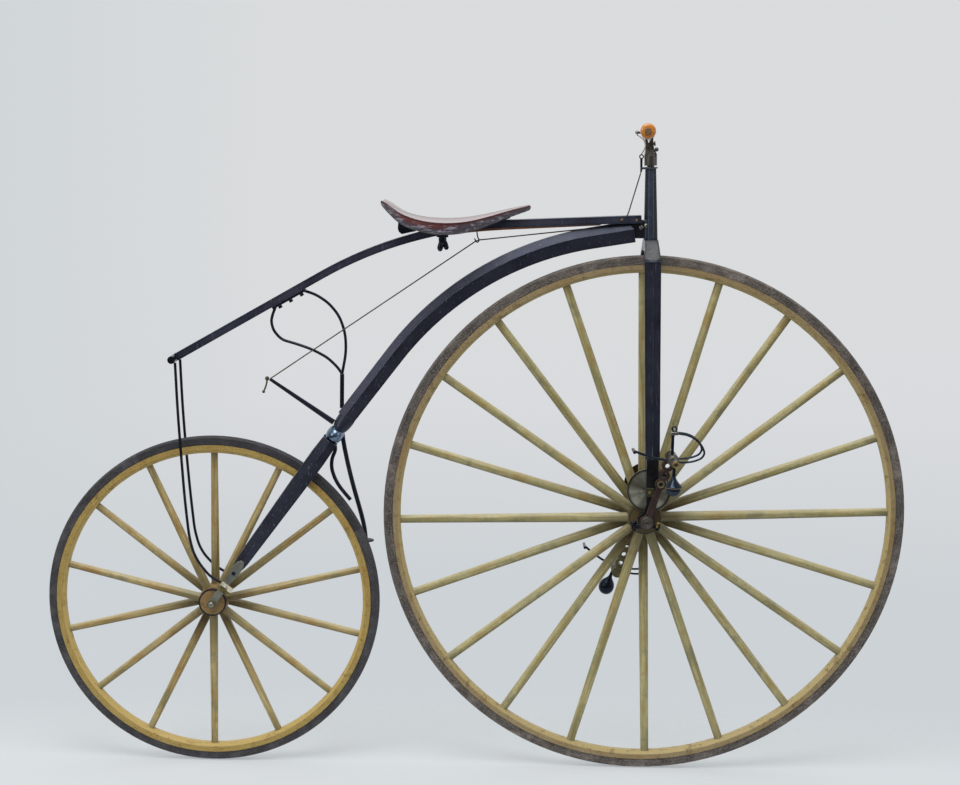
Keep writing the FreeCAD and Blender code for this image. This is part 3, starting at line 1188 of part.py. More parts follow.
def build():
    nodes = {}
    front = wheel_parts(FRONT_AXLE_AT, FRONT_RADIUS, FRONT_TYRE_DEPTH, FRONT_RIM_DEPTH, FRONT_SPOKES,
                        FRONT_SPOKE_TURN, FRONT_SPOKE_ROOT, FRONT_SPOKE_TIP, FRONT_HUB_HALF,
                        FRONT_HUB_RADIUS, FRONT_FACE_RADIUS, FRONT_AXLE_RADIUS)
    rear = wheel_parts(REAR_AXLE_AT, REAR_RADIUS, REAR_TYRE_DEPTH, REAR_RIM_DEPTH, REAR_SPOKES,
                       REAR_SPOKE_TURN, REAR_SPOKE_ROOT, REAR_SPOKE_TIP, REAR_HUB_HALF, REAR_HUB_RADIUS,
                       REAR_FACE_RADIUS, REAR_AXLE_RADIUS + RUNNING)
    for name, shape in front.items():
        nodes["front_" + name] = shape
    for name, shape in rear.items():
        nodes["rear_" + name] = shape

    crank_out = CRANK_INSIDE + CRANK_THICKNESS + 2.5
    nodes["front_axle"] = cylinder(0, FRONT_RADIUS, FRONT_AXLE_RADIUS, -crank_out, crank_out)
    crank = make_crank()
    nodes["crank_right"] = crank
    nodes["crank_left"] = opposite(crank)
    sleeve, toe, weight = make_pedal()
    tip_x, tip_z = crank_tip()
    for side, sign in (("right", 1), ("left", -1)):
        for name, shape in (("pedal_sleeve", sleeve), ("toe_frame", toe), ("pedal_weight", weight)):
            piece = shape.copy() if sign > 0 else mirrored(shape)
            if sign < 0:
                piece.rotate(V(0, 0, 0), Y_AXIS, LEFT_PEDAL_TILT)
            piece.translate(V(sign * tip_x, 0, FRONT_RADIUS + sign * tip_z))
            nodes[name + "_" + side] = piece

    spring_bar = make_spring_bar()
    backbone = make_backbone(spring_bar)
    nodes["head_tube"] = make_head(backbone, spring_bar)
    cord_way = bent_rod(cord_route()[:4], CORD_WAY)
    slot = cord_slot()
    nodes["backbone"] = backbone.cut(slot).cut(cord_way)
    nodes["head_tube"] = nodes["head_tube"].cut(slot).cut(cord_way)
    nodes["spring_bar"] = spring_bar.cut(cord_way)
    strip = make_spring_strip()
    nodes["spring_strip"] = strip
    cord, knot, short = make_cords()
    lever = make_lever()
    nodes["brake_cord"] = cord.cut(lever)
    nodes["cord_knot"] = knot
    nodes["brake_cord_top"] = short
    nodes["cord_link"] = make_link().cut(nodes["head_tube"])
    nodes["cord_hook"] = make_hook()

    neck, blades, plates = make_rear_fork()
    nodes["rear_fork_neck"] = neck
    nodes["rear_fork_blades"] = blades
    nodes["rear_fork_plates"] = plates
    fittings = make_plate_fittings()
    nodes["plate_fittings"] = fittings
    nodes["stays"] = make_stays().cut(fittings)
    axle_out = PLATE_INSIDE + PLATE_THICKNESS + AXLE_NUT_HEIGHT
    x, z = REAR_AXLE_AT
    rear_axle = cylinder(x, z, REAR_AXLE_RADIUS, -axle_out - AXLE_END, axle_out + AXLE_END)
    nut = cylinder(x, z, AXLE_NUT_RADIUS, -axle_out, -PLATE_INSIDE - PLATE_THICKNESS)
    nodes["rear_axle"] = rear_axle.fuse(nut).fuse(mirrored(nut))
    nodes["spring_loops"], nodes["loop_plate"] = make_loops(nodes["backbone"], spring_bar)

    pad, pan = make_saddle(spring_bar)
    nodes["saddle_pad"] = pad
    nodes["saddle_pan"] = pan
    rear_block, clamp = make_saddle_fittings()
    nodes["saddle_block"] = rear_block.cut(pan).cut(pad).cut(spring_bar)
    nodes["saddle_clamp"] = clamp

    lever = lever.cut(neck).cut(backbone)
    spoon = make_spoon().cut(neck)
    nodes["brake_lever"] = Part.makeCompound(lever.Solids + spoon.Solids)
    nodes["step"] = make_step().cut(neck)

    crown, blades, irons = make_fork()
    nodes["fork_crown"] = crown
    nodes["fork_blades"] = blades
    nodes["fork_irons"] = irons
    discs, boxes = make_discs()
    nodes["hub_discs"] = discs
    nodes["disc_nuts"] = boxes
    collar, neck = make_stem_top()
    handle, grips, caps = make_handlebar()
    nodes["stem_collar"] = collar
    nodes["stem_neck"] = neck.cut(handle)
    nodes["handlebar"] = handle
    nodes["grips"] = grips
    nodes["grip_caps"] = caps
    return nodes


def main():
    os.makedirs("parts", exist_ok=True)
    nodes = build()
    print("origin at %.3f %.3f, rear axle at %.3f" % (SEAT[0], SEAT[1], REAR_AXLE_AT[0]))
    for name in sorted(nodes):
        shape = nodes[name].copy()
        shape.translate(V(-SEAT[0], 0, -SEAT[1]))
        if not shape.isValid():
            print("not valid:", name)
        shape.exportStep("parts/%s.step" % name)
        print("%-18s solids %2d  volume %9.0f" % (name, len(shape.Solids), shape.Volume))
    print(len(nodes), "nodes")


main()
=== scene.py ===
import math

import bmesh
import bpy
from mathutils import Matrix, Vector


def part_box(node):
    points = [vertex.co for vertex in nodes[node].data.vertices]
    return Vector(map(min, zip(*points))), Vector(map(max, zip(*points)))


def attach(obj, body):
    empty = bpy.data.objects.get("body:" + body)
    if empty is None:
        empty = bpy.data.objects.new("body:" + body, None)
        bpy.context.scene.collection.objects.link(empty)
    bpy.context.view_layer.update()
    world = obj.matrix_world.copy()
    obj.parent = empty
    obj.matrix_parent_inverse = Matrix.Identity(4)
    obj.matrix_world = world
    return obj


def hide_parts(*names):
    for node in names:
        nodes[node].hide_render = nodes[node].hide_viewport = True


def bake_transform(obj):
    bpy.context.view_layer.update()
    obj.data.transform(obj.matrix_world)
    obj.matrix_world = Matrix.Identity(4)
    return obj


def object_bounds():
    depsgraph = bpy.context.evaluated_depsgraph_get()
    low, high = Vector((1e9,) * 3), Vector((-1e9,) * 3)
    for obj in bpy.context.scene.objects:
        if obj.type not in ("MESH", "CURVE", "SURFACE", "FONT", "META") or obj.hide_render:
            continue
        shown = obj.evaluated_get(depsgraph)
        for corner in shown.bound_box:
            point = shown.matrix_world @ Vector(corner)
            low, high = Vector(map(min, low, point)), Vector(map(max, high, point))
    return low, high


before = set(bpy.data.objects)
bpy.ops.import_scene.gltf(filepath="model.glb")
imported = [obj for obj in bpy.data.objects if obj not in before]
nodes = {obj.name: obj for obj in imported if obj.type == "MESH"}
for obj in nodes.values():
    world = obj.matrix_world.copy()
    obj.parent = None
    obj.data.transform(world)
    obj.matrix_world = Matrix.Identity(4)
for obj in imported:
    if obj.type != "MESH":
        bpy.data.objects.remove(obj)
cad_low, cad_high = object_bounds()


# ---------------------------------------------------------------- camera
# A long lens a little higher than the saddle, three and three quarter metres to the rider's right.
# It looks slightly down, and is turned one degree about its own line.

lens_at = Vector((0.080925, -3.766, 0.143714))
pitch = math.radians(7.67)
yaw = math.radians(-0.16)
roll = math.radians(1.03)
ahead = Vector((math.sin(yaw), math.cos(yaw), 0.0))
to_right = Vector((math.cos(yaw), -math.sin(yaw), 0.0))
look = ahead * math.cos(pitch) - Vector((0, 0, 1)) * math.sin(pitch)
up = to_right.cross(look)
camera_x = to_right * math.cos(roll) + up * math.sin(roll)
camera_y = up * math.cos(roll) - to_right * math.sin(roll)
camera_data = bpy.data.cameras.new("camera")
camera_data.lens = 67.95
camera_data.sensor_width = 36.0
camera = bpy.data.objects.new("camera", camera_data)
camera.matrix_world = Matrix((
    (camera_x.x, camera_y.x, -look.x, lens_at.x),
    (camera_x.y, camera_y.y, -look.y, lens_at.y),
    (camera_x.z, camera_y.z, -look.z, lens_at.z),
    (0.0, 0.0, 0.0, 1.0),
))
bpy.context.scene.collection.objects.link(camera)
bpy.context.scene.camera = camera


# ---------------------------------------------------------------- studio
# A pale paper floor that runs out behind the wheels into a pale grey wall, a wide soft lamp
# overhead, one to the left, a weak one to the right, and a dim room behind the camera.

def linear(code):
    """An sRGB hex colour as the linear values that a shader takes."""
    parts = [int(code[i:i + 2], 16) / 255 for i in (1, 3, 5)]
    return tuple(c / 12.92 if c <= 0.04045 else ((c + 0.055) / 1.055) ** 2.4 for c in parts) + (1.0,)


def add(tree, kind, inputs=None, stops=(), **settings):
    """Adds a shader node with its settings; an input takes a number, a hex colour, or another node."""
    node = tree.nodes.new("ShaderNode" + kind)
    for name, value in settings.items():
        setattr(node, name, value)
    for number, (position, colour) in enumerate(stops):
        if number >= len(node.color_ramp.elements):
            node.color_ramp.elements.new(1.0)
        node.color_ramp.elements[number].position = position
        node.color_ramp.elements[number].color = linear(colour)
    for name, value in (inputs or {}).items():
        socket = node.inputs[name]
        if isinstance(name, str):
            socket = [s for s in node.inputs if s.name == name and s.enabled][0]
        if isinstance(value, bpy.types.Node):
            value = [s for s in value.outputs if s.enabled][0]
        if isinstance(value, bpy.types.NodeSocket):
            tree.links.new(value, socket)
        else:
            socket.default_value = linear(value) if isinstance(value, str) else value
    return node


bpy.context.scene.view_settings.view_transform = "Standard"
world = bpy.data.worlds.new("pale_studio_room")
bpy.context.scene.world = world
world.use_nodes = True
tree = world.node_tree
tree.nodes.clear()
way = add(tree, "SeparateXYZ", {"Vector": add(tree, "TexCoord").outputs["Generated"]})

# The wall that is seen: a shade darker low down and on the left.
rise = add(tree, "MapRange", {"Value": way.outputs["Z"], "From Min": -1.0, "From Max": 1.0})
wall = add(tree, "ValToRGB", {"Fac": rise}, stops=(
    (0.0, "#ccd1d6"), (0.385, "#cdd2d6"), (0.43, "#d9dbde"), (0.47, "#dadcdd"), (0.60, "#d9dcdd")))
aside = add(tree, "MapRange", {"Value": way.outputs["X"], "From Min": -0.30, "From Max": -0.12})
wall = add(tree, "Mix", {"Factor": aside, "A": "#ced4d7", "B": wall}, data_type="RGBA")
seen = add(tree, "Background", {"Color": wall, "Strength": 1.0})

# The room that lights the machine: white overhead, grey at the sides, dim behind the camera.
glow = add(tree, "ValToRGB", {"Fac": rise}, stops=(
    (0.0, "#a6a8ac"), (0.42, "#8d9096"), (0.60, "#b9bdc3"), (0.80, "#f2f4f6"), (1.0, "#ffffff")))
depth = add(tree, "MapRange", {"Value": way.outputs["Y"], "From Min": -0.55, "From Max": 0.35,
                               "To Min": 0.34})
glow = add(tree, "Mix", {"Factor": 1.0, "A": glow, "B": depth}, data_type="RGBA", blend_type="MULTIPLY")
lit = add(tree, "Background", {"Color": glow, "Strength": 0.92})

# The lens sees the wall, also through the floor's faded edge, and gloss mirrors it from behind.
rays = add(tree, "LightPath")
behind = add(tree, "MapRange", {"Value": way.outputs["Y"], "From Min": 0.05, "From Max": 0.4})
mirrored_wall = add(tree, "Math", {0: rays.outputs["Is Glossy Ray"], 1: behind}, operation="MULTIPLY")
shown = add(tree, "Math", {0: rays.outputs["Is Camera Ray"], 1: mirrored_wall}, operation="MAXIMUM")
shown = add(tree, "Math", {0: shown, 1: rays.outputs["Is Transmission Ray"]}, operation="MAXIMUM")
add(tree, "OutputWorld", {"Surface": add(tree, "MixShader", {0: shown, 1: lit, 2: seen})})

middle = (cad_low + cad_high) / 2
reach = 6.0
floor_mesh = bpy.data.meshes.new("floor")
floor_mesh.from_pydata([(-reach, -reach, 0), (reach, -reach, 0), (reach, reach, 0), (-reach, reach, 0)],
                       [], [(0, 1, 2, 3)])
floor = bpy.data.objects.new("floor", floor_mesh)
floor.location = (middle.x, 0, cad_low.z)
bpy.context.scene.collection.objects.link(floor)

# Matt paper that is as light as the wall, so that only the contact shadows show it; its edge fades out.
material = bpy.data.materials.new("pale_paper_floor")
material.use_nodes = True
tree = material.node_tree
tree.nodes.clear()
at = add(tree, "TexCoord").outputs["Object"]
spread = add(tree, "Mapping", {"Vector": at, "Location": (0, 0.42, 0), "Scale": (0.42, 1.0, 1.0)})
away = add(tree, "VectorMath", {0: spread}, operation="LENGTH")
fade = add(tree, "MapRange", {"Value": away, "From Min": 0.52, "From Max": 1.02},
           interpolation_type="SMOOTHSTEP")
paper = add(tree, "BsdfDiffuse", {"Color": "#dadee1"})
glow = add(tree, "Emission", {"Color": "#d8dde0", "Strength": 1.0})
sheet = add(tree, "MixShader", {0: 0.52, 1: paper, 2: glow})
clear = add(tree, "BsdfTransparent")
add(tree, "OutputMaterial", {"Surface": add(tree, "MixShader", {0: fade, 1: sheet, 2: clear})})
floor_mesh.materials.append(material)


def lamp(name, watts, size, at, colour, gloss):
    """A square soft box that faces the middle of the machine."""
    data = bpy.data.lights.new(name, "AREA")
    data.energy = watts
    data.specular_factor = gloss
    data.size = size
    data.color = linear(colour)[:3]
    box = bpy.data.objects.new(name, data)
    box.location = at
    box.rotation_mode = "QUATERNION"
    box.rotation_quaternion = (middle - Vector(at)).to_track_quat("-Z", "Y")
    bpy.context.scene.collection.objects.link(box)


for name, watts, size, at, colour, gloss in (
        ("overhead_box", 84.0, 2.4, (-0.3, -1.5, 2.7), "#ffffff", 0.5),
        ("left_box", 36.0, 2.0, (-3.2, -2.6, 1.2), "#ffffff", 1.0),
        ("right_box", 14.0, 1.6, (3.6, -1.6, 0.4), "#f2f6ff", 1.0)):
    lamp(name, watts, size, at, colour, gloss)


# ---------------------------------------------------------------- tyres
# Solid vulcanised rubber, moulded flat-sided with a crowned tread and sprung onto the rim.
# Old rubber has gone grey brown, matt and dusty, with scuffs that run with the wheel; the small
# wheel's is nearer charcoal, and is scarfed together with glue on its upper front.

def blank_material(name):
    """A material without nodes, and its empty tree."""
    material = bpy.data.materials.new(name)
    material.use_nodes = True
    material.node_tree.nodes.clear()
    return material, material.node_tree


def dress(node_name, material):
    """Gives a CAD node its finish."""
    mesh = nodes[node_name].data
    mesh.materials.clear()
    mesh.materials.append(material)


def finish(tree, inputs):
    """Ends a material: its one shader, with these inputs, goes to the output."""
    add(tree, "OutputMaterial", {"Surface": add(tree, "BsdfPrincipled", inputs)})


def soft_edges(tree, radius_mm):
    """Edges rounded to this radius, and a mask of 1 on them and 0 on the flats."""
    rounded = add(tree, "Bevel", {"Radius": radius_mm / 1000}, samples=4)
    flat = add(tree, "NewGeometry").outputs["Normal"]
    same = add(tree, "VectorMath", {0: rounded, 1: flat}, operation="DOT_PRODUCT").outputs["Value"]
    mask = add(tree, "MapRange", {"Value": same, "From Min": 0.995, "From Max": 0.86})
    return rounded, mask


def coat(tree, colour, pattern, start, full, share, coating):
    """Lays a coating on a colour, from none where a pattern is at start to this share where full."""
    cover = add(tree, "MapRange", {"Value": pattern, "From Min": start, "From Max": full, "To Max": share})
    return add(tree, "Mix", {"Factor": cover, "A": colour, "B": coating}, data_type="RGBA")


def round_wheel(tree, tyre_name):
    """A wheel's own measures in metres: out from its axle, turn in radians, across, and the offset."""
    low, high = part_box(tyre_name)
    at = add(tree, "TexCoord").outputs["Object"]
    at = add(tree, "VectorMath", {0: at, 1: tuple((low + high) / 2)}, operation="SUBTRACT")
    parts = add(tree, "SeparateXYZ", {"Vector": at})
    flat = add(tree, "CombineXYZ", {"X": parts.outputs["X"], "Z": parts.outputs["Z"]})
    out = add(tree, "VectorMath", {0: flat}, operation="LENGTH")
    turn = add(tree, "Math", {0: parts.outputs["Z"], 1: parts.outputs["X"]}, operation="ARCTAN2")
    return out, turn, parts.outputs["Y"], at


def old_rubber(name, tyre_name, dark, body, dust, scarf):
    """Matt rubber; each band of a scarf is (start and end in degrees round the wheel, share of dark)."""
    # Here and in all that follows, a pattern's scale is 1000 over its size in millimetres.
    material, tree = blank_material(name)
    out, turn, across, at = round_wheel(tree, tyre_name)
    slow_turn = add(tree, "Math", {0: turn, 1: 0.05}, operation="MULTIPLY")
    with_wheel = add(tree, "CombineXYZ", {"X": out, "Y": across, "Z": slow_turn})
    mottle = add(tree, "TexNoise", {"Vector": at, "Scale": 1000 / 38, "Detail": 6.0, "Roughness": 0.65})
    scuff = add(tree, "TexNoise", {"Vector": with_wheel, "Scale": 1000 / 2.6, "Detail": 4.0,
                                   "Roughness": 0.7})
    pit = add(tree, "TexNoise", {"Vector": at, "Scale": 1000 / 2.4, "Detail": 3.0, "Roughness": 0.7})
    grain = add(tree, "TexNoise", {"Vector": at, "Scale": 1000 / 3.0, "Detail": 2.0, "Roughness": 0.8})
    colour = add(tree, "ValToRGB", {"Fac": mottle}, stops=((0.30, dark), (0.52, body), (0.74, dust)))
    colour = coat(tree, colour, scuff, 0.48, 0.78, 0.65, dust)
    colour = coat(tree, colour, pit, 0.50, 0.66, 0.75, dark)
    colour = coat(tree, colour, grain, 0.52, 0.66, 0.6, dust)
    for start, end, share in scarf:
        into = add(tree, "Math", {0: turn, 1: math.radians(start)}, operation="GREATER_THAN")
        past = add(tree, "Math", {0: turn, 1: math.radians(end)}, operation="LESS_THAN")
        there = add(tree, "Math", {0: into, 1: past}, operation="MULTIPLY")
        there = add(tree, "Math", {0: there, 1: share}, operation="MULTIPLY")
        colour = add(tree, "Mix", {"Factor": there, "A": colour, "B": dark}, data_type="RGBA")
    rounded, edge = soft_edges(tree, 2.5)
    colour = coat(tree, colour, edge, 0.0, 1.0, 0.6, dust)
    relief = add(tree, "Math", {0: scuff, 1: pit}, operation="ADD")
    normal = add(tree, "Bump", {"Height": relief, "Distance": 0.0005, "Normal": rounded})
    rough = add(tree, "MapRange", {"Value": mottle, "From Min": 0.3, "From Max": 0.7, "To Min": 0.62,
                                   "To Max": 0.84})
    finish(tree, {"Base Color": colour, "Roughness": rough, "IOR": 1.52, "Specular IOR Level": 0.35,
                  "Normal": normal})
    return material


glued_scarf = ((27.5, 33.0, 0.55), (33.0, 118.0, 0.4))
dress("front_tyre", old_rubber("dusty_vulcanised_rubber", "front_tyre",
                               "#332f2c", "#5c554f", "#9a9088", ()))
dress("rear_tyre", old_rubber("charcoal_vulcanised_rubber", "rear_tyre",
                              "#29282a", "#3e3d40", "#605e61", glued_scarf))


# ---------------------------------------------------------------- wheel rims and hubs
# Ash felloes and turned elm hubs, oil painted ochre by brush: the strokes run with the wheel.
# Handling has rubbed the edges and joints brown, dust dulls it, and red undercoat shows in chips.

def brushed_ochre(name, tyre_name, body, pale, gold, chamfer, grimy):
    """Satin oil paint with brush strokes, golden patches, specks and chips; grimy widens its dirt."""
    material, tree = blank_material(name)
    out, turn, across, at = round_wheel(tree, tyre_name)
    low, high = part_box(tyre_name)
    depth_to_chamfer = 0.030
    inner = (high.x - low.x) / 2 - depth_to_chamfer
    slow_turn = add(tree, "Math", {0: turn, 1: 0.03}, operation="MULTIPLY")
    with_wheel = add(tree, "CombineXYZ", {"X": out, "Y": across, "Z": slow_turn})
    stroke = add(tree, "TexNoise", {"Vector": with_wheel, "Scale": 1000 / 2.4, "Detail": 5.0,
                                    "Roughness": 0.65})
    patch = add(tree, "TexNoise", {"Vector": at, "Scale": 1000 / 95, "Detail": 5.0, "Roughness": 0.6})
    grime = add(tree, "TexNoise", {"Vector": at, "Scale": 1000 / 17, "Detail": 6.0, "Roughness": 0.7})
    speck = add(tree, "TexNoise", {"Vector": at, "Scale": 1000 / 2.6, "Detail": 3.0, "Roughness": 0.6})
    chip = add(tree, "TexNoise", {"Vector": at, "Scale": 1000 / 5.5, "Detail": 3.0, "Roughness": 0.6})
    colour = add(tree, "ValToRGB", {"Fac": stroke}, stops=((0.28, body), (0.72, pale)))
    colour = coat(tree, colour, patch, 0.50, 0.70, 0.6, gold)
    colour = coat(tree, colour, speck, 0.52, 0.66, 0.5, "#6e5a3a")
    colour = coat(tree, colour, out, inner + 0.001, inner - 0.001, 0.8, chamfer)
    colour = coat(tree, colour, grime, 0.64 - grimy, 0.80 - grimy, 0.8, "#5c4c30")
    colour = coat(tree, colour, chip, 0.675, 0.70, 1.0, "#7a4020")
    rounded, edge = soft_edges(tree, 1.6)
    rubbed = add(tree, "MapRange", {"Value": grime, "From Min": 0.35, "From Max": 0.6, "To Min": 0.25,
                                    "To Max": 0.9})
    rubbed = add(tree, "Math", {0: edge, 1: rubbed}, operation="MULTIPLY")
    colour = add(tree, "Mix", {"Factor": rubbed, "A": colour, "B": "#5f4a26"}, data_type="RGBA")
    rough = add(tree, "MapRange", {"Value": grime, "From Min": 0.3, "From Max": 0.7, "To Min": 0.4,
                                   "To Max": 0.66})
    normal = add(tree, "Bump", {"Height": stroke, "Distance": 0.0003, "Normal": rounded})
    finish(tree, {"Base Color": colour, "Roughness": rough, "IOR": 1.5, "Specular IOR Level": 0.45,
                  "Normal": normal})
    return material


for node_name, tyre_name, coats in (
        # body, pale stroke, golden patch, chamfer, and how far the grime spreads
        ("front_rim", "front_tyre", ("#94805c", "#ac986e", "#93713c", "#bda970", 0.10)),
        ("rear_rim", "rear_tyre", ("#a48948", "#bfa45c", "#a67e36", "#c8ac64", 0.08)),
        ("front_hub", "front_tyre", ("#51442a", "#6f603e", "#402f1c", "#6b5b38", 0.30)),
        ("rear_hub", "rear_tyre", ("#8a6c40", "#a88a58", "#7a5228", "#96784a", 0.16))):
    dress(node_name, brushed_ochre(node_name + "_ochre_oil_paint", tyre_name, *coats))


# ---------------------------------------------------------------- spokes
# Turned ash spokes, thicker at the hub, painted olive cream along their length.
# Grime gathers at both ends, and the paint is worn to long golden and grey streaks. A highlight
# is painted along the upper side of each spoke, and shade along its underside.

def streaked_cream(name, tyre_name, dark, body, pale, gold):
    """Cream oil paint streaked along each spoke, with a painted highlight on top and painted shade
    underneath.
    """
    material, tree = blank_material(name)
    out, turn, across, at = round_wheel(tree, tyre_name)
    low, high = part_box(tyre_name)
    radius = (high.x - low.x) / 2
    slow_out = add(tree, "Math", {0: out, 1: 0.05}, operation="MULTIPLY")
    wide_turn = add(tree, "Math", {0: turn, 1: 0.35}, operation="MULTIPLY")
    with_spoke = add(tree, "CombineXYZ", {"X": wide_turn, "Y": across, "Z": slow_out})
    streak = add(tree, "TexNoise", {"Vector": with_spoke, "Scale": 1000 / 6.5, "Detail": 4.0,
                                    "Roughness": 0.55})
    patch = add(tree, "TexNoise", {"Vector": at, "Scale": 1000 / 48, "Detail": 5.0, "Roughness": 0.65})
    chip = add(tree, "TexNoise", {"Vector": at, "Scale": 1000 / 3.4, "Detail": 3.0, "Roughness": 0.6})
    colour = add(tree, "ValToRGB", {"Fac": streak}, stops=((0.30, dark), (0.50, body), (0.70, pale)))
    colour = coat(tree, colour, patch, 0.50, 0.68, 0.7, gold)
    colour = coat(tree, colour, patch, 0.48, 0.34, 0.7, "#7c7a5a")
    colour = coat(tree, colour, chip, 0.67, 0.71, 0.85, "#8a4a28")
    near_hub = add(tree, "MapRange", {"Value": out, "From Min": 0.05, "From Max": 0.13, "To Min": 0.8,
                                      "To Max": 0.0})
    near_rim = add(tree, "MapRange", {"Value": out, "From Min": radius - 0.07, "From Max": radius - 0.036,
                                      "To Max": 0.5})
    dirt = add(tree, "Math", {0: near_hub, 1: near_rim}, operation="ADD")
    held = add(tree, "MapRange", {"Value": patch, "From Min": 0.35, "From Max": 0.6, "To Min": 0.4})
    dirt = add(tree, "Math", {0: dirt, 1: held}, operation="MULTIPLY")
    colour = add(tree, "Mix", {"Factor": dirt, "A": colour, "B": "#554a2c"}, data_type="RGBA")
    facing_up = add(tree, "SeparateXYZ", {"Vector": add(tree, "TexCoord").outputs["Normal"]}).outputs["Z"]
    # A highlight is painted on the upper side of each spoke, and shade on its underside.
    colour = coat(tree, colour, facing_up, 0.25, 0.95, 0.40, "#ded4b0")
    colour = coat(tree, colour, facing_up, -0.30, -0.95, 0.60, "#4a4228")
    rough = add(tree, "MapRange", {"Value": patch, "From Min": 0.3, "From Max": 0.7, "To Min": 0.38,
                                   "To Max": 0.6})
    normal = add(tree, "Bump", {"Height": streak, "Distance": 0.00025})
    finish(tree, {"Base Color": colour, "Roughness": rough, "IOR": 1.5, "Specular IOR Level": 0.45,
                  "Normal": normal})
    return material


dress("front_spokes", streaked_cream("front_cream_oil_paint_on_ash", "front_tyre",
                                     "#8e8254", "#aaa06e", "#c8be92", "#9c8040"))
dress("rear_spokes", streaked_cream("rear_cream_oil_paint_on_ash", "rear_tyre",
                                    "#8a7342", "#ad9862", "#c6b684", "#9c7234"))


# ---------------------------------------------------------------- painted iron frame
# Forged wrought iron under navy black coach enamel, brushed on and rubbed down by hand.
# The enamel is glossy over faint hammer marks, with a faint painted sheen on the middle of its faces.
# Its ridges are greyer, rubbed by hands and painted as highlights, with fine scratches and small chips
# down to an ochre primer.

def coach_enamel(name, deep, body, painted_sheen, ridge_wear_and_highlight, gloss):
    """Glossy enamel with a painted sheen mid-face and ridges rubbed and painted pale; gloss is its lowest
    roughness.
    """
    material, tree = blank_material(name)
    at = add(tree, "TexCoord").outputs["Object"]
    wear = add(tree, "TexNoise", {"Vector": at, "Scale": 1000 / 60, "Detail": 6.0, "Roughness": 0.65})
    hammer = add(tree, "TexNoise", {"Vector": at, "Scale": 1000 / 16, "Detail": 3.0, "Roughness": 0.5})
    chip = add(tree, "TexNoise", {"Vector": at, "Scale": 1000 / 5.0, "Detail": 3.0, "Roughness": 0.6})
    scratch_at = add(tree, "Mapping", {"Vector": at, "Rotation": (0, 0.6, 0.3), "Scale": (1.0, 1.0, 0.04)})
    scratch = add(tree, "TexNoise", {"Vector": scratch_at, "Scale": 1000 / 1.6, "Detail": 2.0,
                                     "Roughness": 0.5})
    colour = add(tree, "ValToRGB", {"Fac": wear}, stops=((0.35, deep), (0.68, body)))
    # A faint sheen is painted on the middle of each face, in uneven patches.
    near_edge = soft_edges(tree, 11.0)[1]
    uneven_patches = add(tree, "MapRange", {"Value": wear, "From Min": 0.3, "From Max": 0.6, "To Min": 0.45,
                                     "To Max": 0.9})
    uneven_patches = add(tree, "Math", {0: uneven_patches, 1: near_edge}, operation="SUBTRACT", use_clamp=True)
    colour = add(tree, "Mix", {"Factor": uneven_patches, "A": colour, "B": painted_sheen}, data_type="RGBA")
    colour = coat(tree, colour, scratch, 0.66, 0.74, 0.5, ridge_wear_and_highlight)
    # Ridges are paler: rubbed wear, and a painted highlight as well.
    rounded, edge = soft_edges(tree, 1.1)
    rubbed = add(tree, "MapRange", {"Value": hammer, "From Min": 0.35, "From Max": 0.6, "To Min": 0.3})
    rubbed = add(tree, "Math", {0: edge, 1: rubbed}, operation="MULTIPLY")
    colour = add(tree, "Mix", {"Factor": rubbed, "A": colour, "B": ridge_wear_and_highlight}, data_type="RGBA")
    colour = coat(tree, colour, chip, 0.725, 0.75, 0.9, "#94804c")
    rough = add(tree, "MapRange", {"Value": wear, "From Min": 0.3, "From Max": 0.7, "To Min": gloss,
                                   "To Max": gloss + 0.16})
    normal = add(tree, "Bump", {"Height": hammer, "Distance": 0.0003, "Normal": rounded})
    finish(tree, {"Base Color": colour, "Roughness": rough, "IOR": 1.5, "Specular IOR Level": 0.45,
                  "Specular Tint": "#dbe3ff", "Normal": normal})
    return material


enamel = coach_enamel("navy_coach_enamel", "#101017", "#20202a", "#2a2c37", "#959dac", 0.26)
bar_enamel = coach_enamel("rubbed_navy_enamel", "#191a22", "#2c2e38", "#3a3d49", "#8a92a2", 0.28)
black_enamel = coach_enamel("black_stoving_enamel", "#0a0b11", "#12141c", "#1a1d28", "#5e6678", 0.22)
for node_name in ("backbone", "loop_plate", "rear_fork_blades", "fork_blades"):
    dress(node_name, enamel)
dress("spring_bar", bar_enamel)
for node_name in ("spring_loops", "stays", "brake_lever", "saddle_clamp"):
    dress(node_name, black_enamel)


# ---------------------------------------------------------------- steering column and fork crown
# An eight-sided column and its crown, filed round by long handling under the same enamel.
# A grey sheen is painted on its sides that face across the machine, and pale highlights on its edges.

material, tree = blank_material("sheen_painted_column_enamel")
at = add(tree, "TexCoord").outputs["Object"]
place = add(tree, "SeparateXYZ", {"Vector": at})
wear = add(tree, "TexNoise", {"Vector": at, "Scale": 1000 / 22, "Detail": 6.0, "Roughness": 0.65})
long_at = add(tree, "Mapping", {"Vector": at, "Scale": (1.0, 1.0, 0.08)})
rub = add(tree, "TexNoise", {"Vector": long_at, "Scale": 1000 / 4.0, "Detail": 4.0, "Roughness": 0.6})
rounded = soft_edges(tree, 7.0)[0]
